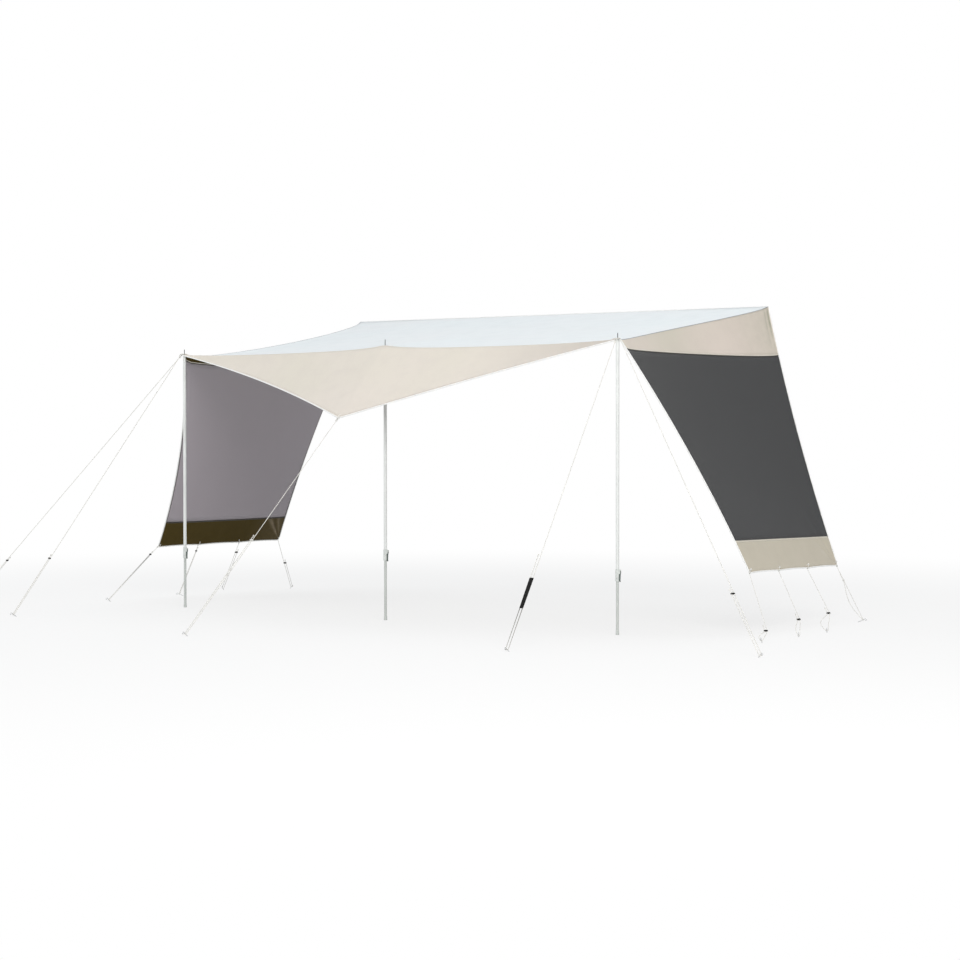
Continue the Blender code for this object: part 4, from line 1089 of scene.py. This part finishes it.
def add_ring(name, centre, normal, size):
    """A rolled eyelet ring on both faces of the cloth."""
    radius, rim = size
    turn = normal.to_track_quat("Z", "Y").to_matrix()
    points = []
    faces = []
    for step in range(RING_STEPS):
        here = step * RING_SIDES
        there = (step + 1) % RING_STEPS * RING_SIDES
        for part in range(RING_SIDES):
            roll = math.tau * part / RING_SIDES
            height = (CLOTH / 2.0 + rim * RING_SWELL) * math.sin(roll)
            out = round_place(radius + rim * math.cos(roll), math.tau * step / RING_STEPS, height)
            points.append(centre + turn @ out)
            after = (part + 1) % RING_SIDES
            faces.append((here + part, there + part, there + after, here + after))
    place_object(name, smooth_mesh(name, points, faces), "eyelet")


# Ropes

def lateral_of(run):
    return run.cross(UP).normalized()


def eye_route(radius, seat):
    centre = radius - seat
    route = [(centre + along * radius, aside * radius) for along, aside in EYE_END_SHARES]
    for step in range(EYE_STEPS + 1):
        angle = math.radians(90.0 + 180.0 * step / EYE_STEPS)
        route.append((centre + radius * math.cos(angle), radius * math.sin(angle)))
    return route + [(centre + along * radius, aside * radius) for along, aside in EYE_RUN_SHARES]


def with_breaks(route, breaks):
    full = [route[0]]
    for (first, aside), (second, next_aside) in zip(route, route[1:]):
        inside = [at for at in breaks if min(first, second) < at < max(first, second)]
        for at in sorted(inside, reverse=second < first):
            full.append((at, mix(aside, next_aside, (at - first) / (second - first))))
        full.append((second, next_aside))
    return full


def corner_eye(place, level, heading, target):
    """An eye that lies round a pole's spike on the cloth, and bends down over the edge to its peg."""
    cord_radius = CORD_RADII["guy"]
    lift = CLOTH / 2.0 + CORD_SEAT_GAP + cord_radius + level * (2.0 * cord_radius + CORD_SEAT_GAP)
    origin = Vector((POLE_X[place], 0.0, POLE_TOP_HEIGHTS[place] + lift))
    bend_start = EYE_BEND_START + level * EYE_STAGGER
    bend = origin + heading * bend_start
    run = (target - bend).normalized()
    across = lateral_of(run)
    turn = heading.angle(run)
    tangent = EYE_BEND_RADIUS * math.tan(turn / 2.0)
    arc_length = EYE_BEND_RADIUS * turn

    def at(along):
        if along <= bend_start - tangent:
            return origin + heading * along
        past = along - (bend_start - tangent)
        if past >= arc_length:
            return bend + run * (tangent + past - arc_length)
        angle = past / EYE_BEND_RADIUS
        start = origin + heading * (bend_start - tangent)
        forward = heading * (EYE_BEND_RADIUS * math.sin(angle))
        return start + forward - UP * (EYE_BEND_RADIUS * (1.0 - math.cos(angle)))

    route = eye_route(EYE_RADII["guy"], SPIKE_RADIUS + CORD_SEAT_GAP + cord_radius)
    breaks = [bend_start + tangent * share for share in (-1.0, -0.5, 0.0, 0.5, 1.0)]
    return [at(along) + across * aside for along, aside in with_breaks(route, breaks)]


def cloth_eye(kind, hole, normal, target):
    """An eye that goes through a hole in the cloth, across it."""
    straight = (target - hole).normalized()
    along_cloth = (straight - normal * straight.dot(normal)).normalized()
    route = eye_route(EYE_RADII[kind], -(EYELET_RADIUS - CORD_RADII[kind] - CORD_SEAT_GAP))
    return [hole + along_cloth * along + normal * aside for along, aside in route]


def bottom_route(ground, slider, run, loop_radius, slack, length, tail):
    """From the runner down round the peg, back up through the runner, and on to the stopper knot."""
    leaving = slider + run * (length / 2.0 + STRAND_LEAD)
    low_run = (ground - leaving).normalized()
    low_lateral = lateral_of(low_run)
    bends = (slider - ground).cross(run).length > STRAND_LEAD
    points = [leaving] if bends else []
    middle = ground + low_lateral * loop_radius - low_run * loop_radius
    for step in range(EYE_STEPS + 1):
        angle = math.radians(180.0 * step / EYE_STEPS)
        round_peg = low_run * math.sin(angle) - low_lateral * math.cos(angle)
        points.append(middle + round_peg * loop_radius)
    across = lateral_of(run) * 2.0 * loop_radius
    if slack is not None:
        last = points[-1]
        for along, aside in SLACK_SHARES:
            points.append(last.lerp(leaving + across, along) + Vector(slack) * aside)
    if bends or slack is not None:
        points.append(leaving + across)
    knot_start = slider + across - run * tail
    return points + [knot_start, knot_start - run * TAIL_PAST_KNOT], low_run, knot_start


def add_knot(name, centre, run, size, radius, finish, sides=3):
    """A closed trefoil drawn tight along the rope."""
    turn = run.to_track_quat("Z", "Y").to_matrix()
    points = []
    for step in range(KNOT_STEPS):
        angle = math.tau * step / KNOT_STEPS
        out = size * (1.0 + 0.5 * math.cos(3.0 * angle)) / 1.5
        height = size * KNOT_HEIGHT_SHARE * math.sin(3.0 * angle)
        points.append(centre + turn @ round_place(out, 2.0 * angle, height))
    return add_tube(name, points, radius, finish, sides=sides, closed=True)


def add_whipping(name, start, run, cord_radius, make):
    share, turns, pitch, thread = make
    turn = run.to_track_quat("Z", "Y").to_matrix()
    points = []
    for step in range(turns * WHIPPING_STEPS + 1):
        out = round_place(cord_radius * share, math.tau * step / WHIPPING_STEPS)
        points.append(start + run * (pitch * step / WHIPPING_STEPS) + turn @ out)
    return add_tube(name, points, thread, "thread", sides=2)


def runner_outlines(loop_radius, bore):
    """The waisted outline of a slider, and its two bores."""
    half_height = RUNNER_HEIGHT / 2.0
    outline = []
    for end, start in ((1.0, -90.0), (-1.0, 90.0)):
        for step in range(RUNNER_END_STEPS + 1):
            angle = math.radians(start + 180.0 * step / RUNNER_END_STEPS)
            along = loop_radius + end * loop_radius + half_height * math.cos(angle)
            waist = 1.0 - RUNNER_WAIST_SHARE * bell(along - loop_radius, RUNNER_WAIST_REACH * loop_radius)
            outline.append((along, half_height * math.sin(angle) * waist, 0.0))
    loops = [outline]
    angles = [math.tau * step / BORE_STEPS for step in range(BORE_STEPS)]
    for middle in (0.0, 2.0 * loop_radius):
        loops.append([(middle + bore * math.cos(angle), bore * math.sin(angle), 0.0) for angle in angles])
    return loops


def taper_sleeve(mesh, middle, rim):
    """Makes a long slider thinner towards its foot, and narrower outside the rims of its bores."""
    for vertex in mesh.vertices:
        off_middle = vertex.co.x - middle
        if vertex.co.z < 0.0 and abs(vertex.co.y) > rim:
            vertex.co.y *= SLEEVE_TAPER_SHARE
        if abs(off_middle) > middle + rim:
            slim = SLEEVE_TOP_WIDTH_SHARE if vertex.co.z > 0.0 else SLEEVE_FOOT_WIDTH_SHARE
            vertex.co.x = middle + off_middle * slim


def runner_mesh(name, loop_radius, cord_radius, length, sleeve):
    """A slider with softened edges."""
    bore = cord_radius + RUNNER_BORE_GAP
    flat = bpy.data.curves.new(name + "_outline", "CURVE")
    flat.dimensions = "2D"
    flat.fill_mode = "BOTH"
    flat.bevel_depth = RUNNER_EDGE
    flat.bevel_resolution = 2
    flat.offset = -RUNNER_EDGE
    flat.extrude = length / 2.0 - RUNNER_EDGE
    for loop in runner_outlines(loop_radius, bore):
        add_spline(flat, loop, True)
    mesh = baked(place_object(name + "_outline", flat, body=None))
    mesh.name = name
    mesh.materials.clear()
    if sleeve:
        taper_sleeve(mesh, loop_radius, bore * BORE_RIM_SHARE)
    return mesh


def add_runner(kind, key, centre, run, length):
    mesh = runner_mesh(key + "_slider", LOOP_RADII[kind], CORD_RADII[kind], length, key == SLEEVED)
    lateral = lateral_of(run)
    turn = Matrix((lateral, lateral.cross(run).normalized(), -run)).transposed().to_4x4()
    mesh.transform(Matrix.Translation(centre) @ turn)
    mesh.polygons.foreach_set("use_smooth", [False] * len(mesh.polygons))
    finish = "pale_runner" if key in PALE_RUNNERS else "runner"
    runner = place_object(key + "_slider", mesh, finish, "runner_" + key)
    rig.replaces(runner, kind + "_runner_" + key)
    return runner


def add_peg(kind, key, ground, run):
    """A bent wire, cut off at the ground."""
    lateral = lateral_of(run)
    upward = lateral.cross(run).normalized()
    if upward.z < 0.0:
        upward.negate()
    rod = ground + lateral * LOOP_RADII[kind] - run * (CORD_RADII[kind] + CLEARANCE + PEG_RADIUS)
    below = rod - upward * ((rod.z + PEG_SINK) / upward.z)
    top = rod + upward * PEG_RISE
    points = [below.lerp(top, share) for share in (0.0, 0.5, 1.0)]
    for step in range(1, PEG_HOOK_STEPS + 1):
        angle = math.pi * step / PEG_HOOK_STEPS
        along = PEG_HOOK_RADIUS * (1.0 - math.cos(angle))
        points.append(top + run * along + upward * PEG_HOOK_RADIUS * math.sin(angle))
    points.append(points[-1] - upward * PEG_TIP)
    mesh = baked(add_tube(key + "_wire", points, PEG_RADIUS, "peg", sides=4, body=None))
    work = bmesh.new()
    work.from_mesh(mesh)
    bmesh.ops.remove_doubles(work, verts=work.verts[:], dist=WELD_DISTANCE)
    whole = work.verts[:] + work.edges[:] + work.faces[:]
    ground_plane = {"plane_co": (0.0, 0.0, 0.0), "plane_no": UP}
    sliced = bmesh.ops.bisect_plane(work, geom=whole, **ground_plane, clear_inner=True)
    rim = [item for item in sliced["geom_cut"] if isinstance(item, bmesh.types.BMEdge)]
    bmesh.ops.contextual_create(work, geom=rim)
    work.to_mesh(mesh)
    work.free()
    mesh.name = key + "_hook_peg"
    peg = place_object(key + "_hook_peg", mesh)
    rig.replaces(peg, kind + "_peg_" + key)
    return peg


def add_rope(kind, key, points, ground, knot_place):
    """A rope with its whipped and knotted eye, slider, stopper knot and peg."""
    cord_radius = CORD_RADII[kind]
    loop_radius = LOOP_RADII[kind]
    length = SLEEVE_LENGTH if key == SLEEVED else RUNNER_THICKNESS
    tail = TAIL_LENGTHS.get(key, DEFAULT_TAIL)
    joint = points[-1]
    run = (ground - joint).normalized()
    slider = ground - run * PEGS_AND_RUNNERS[key][2] + lateral_of(run) * RUNNER_SWAY.get(key, 0.0)
    run = (slider - joint).normalized()
    low, low_run, knot = bottom_route(ground, slider, run, loop_radius, RETURN_SLACK.get(key), length, tail)
    route = points + [joint.lerp(low[0], share) for share in (0.33, 0.66)] + low
    look = "rope_" + key if key in ROPE_DARK_STRETCHES else "rope"
    rope = add_tube(key + "_rope", route, cord_radius, look, sides=4)
    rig.replaces(rope, kind + "_rope_" + key)
    thin = cord_radius * STOPPER_STRAND_SHARE
    end = knot - run * cord_radius
    stopper = add_knot(key + "_stopper_knot", end, run, STOPPER_SHARE * cord_radius, thin, "rope")
    start = joint - run * EYE_RADII[kind] * EYE_WHIPPING_BACK_SHARE
    whip = add_whipping(key + "_eye_whipping", start, run, cord_radius, EYE_WHIPPING)
    tail_run = (points[0] - points[2]).normalized()
    start = points[0] - tail_run * TAIL_WHIPPING_BACK
    tail_whip = add_whipping(key + "_tail_whipping", start, tail_run, cord_radius, TAIL_WHIPPING)
    centre, facing = knot_place or (joint + run * EYE_KNOT_AHEAD_SHARE * cord_radius, run)
    size = EYE_KNOT_SHARE * cord_radius
    eye_knot = add_knot(key + "_eye_knot", centre, facing, size, cord_radius, "knot", sides=4)
    runner = add_runner(kind, key, slider, run, length)
    peg = add_peg(kind, key, ground, low_run)
    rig.cord(
        rope, exit=route[0], length=runs(route)[-1], diameter=2.0 * cord_radius, far_end="knot",
        stiffness="limp", lay="taut", with_pieces=[stopper, whip, tail_whip, eye_knot, runner, peg],
    )


def nose_eyelet():
    """The hole in the nose, and the cloth's normal there."""
    across = visor_point(PAD_HALF, 1.0) - visor_point(-PAD_HALF, 1.0)
    tip = (visor_point(PAD_HALF, 1.0) + visor_point(-PAD_HALF, 1.0)) / 2.0
    upward = visor_point(0.0, NEAR_EDGE_SHARE) - visor_point(0.0, 1.0)
    return tip + upward.normalized() * EYELET_UP, across.cross(upward).normalized()


def hem_eyelet(sign, share):
    """A hole near the hem and the outward normal there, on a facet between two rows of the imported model."""
    low, high = next(pair for pair in zip(MODEL_ROWS, MODEL_ROWS[1:]) if share <= pair[1])
    between = (share - low) / (high - low)

    def last_row(row):
        return panel_point(sign, row, mix(strip_share(row), 1.0, MODEL_LAST_ROW_SHARE))

    bottom = panel_point(sign, low, 1.0).lerp(panel_point(sign, high, 1.0), between)
    upward = (last_row(low).lerp(last_row(high), between) - bottom).normalized()
    normal = (last_row(high) - last_row(low)).cross(upward).normalized()
    if normal.x * sign < 0.0:
        normal.negate()
    return bottom + upward * EYELET_UP, normal


def hem_eyelets():
    """The eyelets of both hems, each with its rope's name, hole and normal."""
    for side, sign in SIDES.items():
        for index, share in enumerate(HEM_LOOP_SHARES):
            yield side + "_" + str(index + 1), *hem_eyelet(sign, share)


def ground_point(key):
    return Vector((*PEGS_AND_RUNNERS[key][:2], PEG_LOOP_HEIGHT))


def add_ropes():
    for key, place, level in CORNER_GUYS:
        ground = ground_point(key)
        heading = Vector((ground.x - POLE_X[place], ground.y, 0.0)).normalized()
        add_rope("guy", key, corner_eye(place, level, heading, ground), ground, None)
    ground = ground_point("nose")
    add_rope("guy", "nose", cloth_eye("guy", *nose_eyelet(), ground), ground, None)
    for key, hole, normal in hem_eyelets():
        ground = ground_point(key)
        route = cloth_eye("panel", hole, normal, ground)
        add_rope("panel", key, route, ground, (hole + normal * KNOT_OUT, normal))


# Cloth pieces

def add_roof():
    inner = spread(ROOF_ACROSS, -POLE_SPACING + PAD_HALF, POLE_SPACING - PAD_HALF)
    rows = [None] + spread(ROOF_BACK)
    grid = [[roof_point(across, row) for row in rows] for across in [-FRONT_HALF] + inner + [FRONT_HALF]]
    add_sheet(
        "roof_cloth_sheet", grid, "roof", "roof_underside_shade", "roof_sheet", "roof_cloth",
        "stretched", CLOTH, ["pole_upper_left", "pole_upper_centre", "pole_upper_right", "rail_beading"],
    )
    for side, column in (("left", grid[0]), ("right", grid[-1])):
        add_tube("roof_side_piping_" + side, column[1:], ROOF_PIPING_RADIUS, "grey_piping")
    for name, count, row, near_row, width in (
        ("roof_seam_tape", SEAM_STATIONS, None, 0.0, SEAM_TAPE_WIDTH),
        ("rail_flap", RAIL_STATIONS, 1.0, NEAR_RAIL_SHARE, RAIL_FLAP_WIDTH),
    ):
        stations = spread(count, -POLE_SPACING, POLE_SPACING)
        line = [roof_point(across, row) for across in stations]
        inner = [roof_point(across, near_row) for across in stations]
        add_tape(name, line, inner, [width * share for share in TAPE_SHARES], UP, "roof_tape")
    stations = spread(BEADING_STEPS, -RAIL_HALF, RAIL_HALF)
    line = [Vector((across, RAIL_DEPTH, RAIL_HEIGHT)) for across in stations]
    beading = add_tube("rail_keder", line, BEADING_RADIUS, "piping", sides=5)
    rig.replaces(beading, "rail_beading")
    for place, across in POLE_X.items():
        add_patch("pole_patch_" + place, across, "roof_tape")


def add_patch(name, across, finish):
    """A half-round doubling of the cloth behind a pole top, cut off at the roof's side edge."""
    def place_at(turn, reach):
        """The roof's own coordinates of a place on the ground."""
        out = round_place(PATCH_RADIUS * reach, turn)
        row = out.y / (rear_edge() - PAD_HALF)
        return (across + out.x) * FRONT_HALF / roof_half(row), row

    grid = []
    for turn in spread(PATCH_STEPS, 0.0, math.pi):
        inside = [reach for reach in spread(PATCH_TRIALS) if abs(place_at(turn, reach)[0]) <= FRONT_HALF]
        places = [place_at(turn, reach * inside[-1]) for reach in PATCH_REACHES]
        grid.append([roof_point(*place) + UP * TRIM_LIFT for place in places])
    add_trim(name, grid, finish)


def add_visor():
    inner = spread(ROOF_ACROSS // 2, PAD_HALF, POLE_SPACING - PAD_HALF) + [POLE_SPACING]
    stations = [-across for across in reversed(inner)] + inner
    grid = [[visor_point(across, share) for share in spread(VISOR_DOWN)] for across in stations]
    add_sheet(
        "visor_cloth_sheet", grid, "visor_underside_shade", "visor", "front_visor", "visor_cloth",
        "stretched", CLOTH, ["roof_sheet"],
    )
    edge = [column[-1] for column in grid]
    near_edge = [column[-2] for column in grid]
    add_tube("visor_piping", edge, PIPING_RADIUS, "piping")
    looks = ("visor_hem", "visor_underside_shade")
    add_band("visor_hem", edge[1:-1], near_edge[1:-1], HEM_WIDTH, looks)


def panel_rows():
    """Stations along a side panel, close together where its rear corner is rounded."""
    front = spread(PANEL_ACROSS, 0.0, REAR_START_SHARE)
    rear = spread(PANEL_ACROSS_REAR, REAR_START_SHARE, CORNER_START_SHARE)[1:]
    return front + rear + spread(CORNER_STEPS, CORNER_START_SHARE, 1.0)[1:]


def panel_levels(sign, row):
    """Shares down at a station of a side panel: its top edge, its two seams and its hem."""
    return 0.0, gusset_share(sign, row), strip_share(row), 1.0


def add_panel(side, sign):
    """One side panel: gusset, mesh and strip, with their seams, hems and piping."""
    def faces(outer, inner):
        """The finishes of a grid's first and second face, which turn about from side to side."""
        return (outer, inner) if sign < 0.0 else (inner, outer)

    def line(level, lift=0.0):
        return [panel_point(sign, row, panel_levels(sign, row)[level] + lift) for row in panel_rows()]

    above = "roof_sheet"
    for level, (part, node, slot, thickness, count, outer, inner, *_) in enumerate(PANEL_PARTS):
        grid = []
        wear_and_crease_shading = []
        for row in panel_rows():
            stations = spread(count, *panel_levels(sign, row)[level:level + 2])
            grid.append([panel_point(sign, row, share) for share in stations])
            wear_and_crease_shading += [panel_crease_shading(sign, row, share) for share in stations]
        name = part + "_cloth_" + side
        add_sheet(name, grid, *faces(outer, inner), node + side, slot, "hung", thickness, [above], wear_and_crease_shading)
        above = node + side
    outline = [panel_point(sign, 0.0, share) for share in spread(EDGE_STEPS)]
    outline += line(-1)[1:]
    outline += [panel_point(sign, 1.0, share) for share in spread(EDGE_STEPS, 1.0, 0.0)[1:]]
    add_tube("panel_piping_" + side, outline, PIPING_RADIUS, "piping")
    near_hem = [panel_point(sign, row, NEAR_HEM_SHARE) for row in panel_rows()]
    add_band("panel_hem_" + side, line(-1), near_hem, EDGE_WIDTH, faces("inner_hem", "strip_hem"))
    for end, row, inner_row in (("front", 0.0, EDGE_ROW_STEP), ("rear", 1.0, 1.0 - EDGE_ROW_STEP)):
        for level, (part, *_, outer, inner) in enumerate(PANEL_PARTS):
            high, low = panel_levels(sign, row)[level:level + 2]
            stations = spread(max(FEWEST_EDGE_STEPS, round(EDGE_STEPS * (low - high))), high, low)
            if row == 1.0:
                stations.reverse()
            edge = [panel_point(sign, row, share) for share in stations]
            inside = [panel_point(sign, inner_row, share) for share in stations]
            add_band("_".join(("edge", end, part, side)), edge, inside, EDGE_WIDTH, faces(outer, inner))
    for part, level, start, end, outer, inner in SEAM_LAPS:
        reaches = [SEAM_TAPE_WIDTH / 2.0 * share for share in spread(LAP_STEPS, start, end)]
        for face, outward, finish in (("outer", sign, outer), ("inner", -sign, inner)):
            name = "_".join(("lap", part, outer, side, face))
            facing = Vector((outward, 0.0, 0.0))
            add_tape(name, line(level), line(level, EDGE_ROW_STEP), reaches, facing, finish)


def add_fittings():
    for place, across in POLE_X.items():
        centre = Vector((across, 0.0, POLE_TOP_HEIGHTS[place]))
        add_ring("pole_eyelet_" + place, centre, UP, POLE_RING)
    add_ring("nose_eyelet", *nose_eyelet(), NOSE_RING)
    for key, hole, normal in hem_eyelets():
        add_ring("hem_eyelet_" + key, hole, normal, HEM_RING)


def dress_nodes():
    for place in POLE_X:
        for part, key in DRESSED.items():
            materials = bpy.data.objects[part + place].data.materials
            materials.clear()
            materials.append(FINISHES[key])


# Camera, stage and sizes

def add_camera():
    camera = bpy.data.objects.new("photo_camera", bpy.data.cameras.new("photo_camera"))
    camera.data.lens = CAMERA_LENS
    camera.data.sensor_width = SENSOR
    camera.data.clip_end = CAMERA_REACH
    yaw = Matrix.Rotation(-math.radians(CAMERA_YAW), 4, "Z")
    pitch = Matrix.Rotation(math.radians(90.0 + CAMERA_PITCH), 4, "X")
    roll = Matrix.Rotation(math.radians(CAMERA_ROLL), 4, "Z")
    camera.matrix_world = Matrix.Translation(CAMERA_PLACE) @ yaw @ pitch @ roll
    bpy.context.scene.collection.objects.link(camera)
    bpy.context.scene.camera = camera


def add_stage():
    mesh = bpy.data.meshes.new("floor")
    corners = ((-1.0, -1.0), (1.0, -1.0), (1.0, 1.0), (-1.0, 1.0))
    mesh.from_pydata([(x * FLOOR_REACH, y * FLOOR_REACH, 0.0) for x, y in corners], [], [(0, 1, 2, 3)])
    mesh.materials.append(floor_finish())
    floor = bpy.data.objects.new("floor", mesh)
    bpy.context.scene.collection.objects.link(floor)
    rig.stage(floor)
    world = bpy.data.worlds.new("studio")
    bpy.context.scene.world = world
    tree = NodeTree(world)
    light = tree.nodes["Background"]
    tree.feed(light.inputs["Color"], SKY_COLOUR)
    tree.feed(light.inputs["Strength"], SKY_STRENGTH)
    white = tree.add("ShaderNodeBackground", {"Color": WHITE})
    shaders = (light.outputs["Background"], white.outputs["Background"])
    tree.show("World Output", tree.seen_directly(), *shaders)
    for name, (place, size, power, colour) in LAMPS.items():
        lamp = bpy.data.lights.new(name, "AREA")
        lamp.shape = "DISK"
        lamp.size = size
        lamp.energy = power
        lamp.color = colour
        holder = bpy.data.objects.new(name, lamp)
        holder.location = place
        holder.rotation_euler = (Vector(LAMP_AIM) - Vector(place)).to_track_quat("-Z", "Y").to_euler()
        bpy.context.scene.collection.objects.link(holder)


def write_sizes(cad_box):
    with open("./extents.json", "w") as file:
        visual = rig.bounds()
        json.dump([[list(corner) for corner in cad_box], [list(corner) for corner in visual]], file)


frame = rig.load()
CAD_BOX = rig.bounds()
bpy.context.scene.view_settings.view_transform = "Standard"
add_camera()
FINISHES = make_finishes()
add_ropes()
add_roof()
add_visor()
for side_name, side_sign in SIDES.items():
    add_panel(side_name, side_sign)
add_fittings()
dress_nodes()
add_stage()
write_sizes(CAD_BOX)
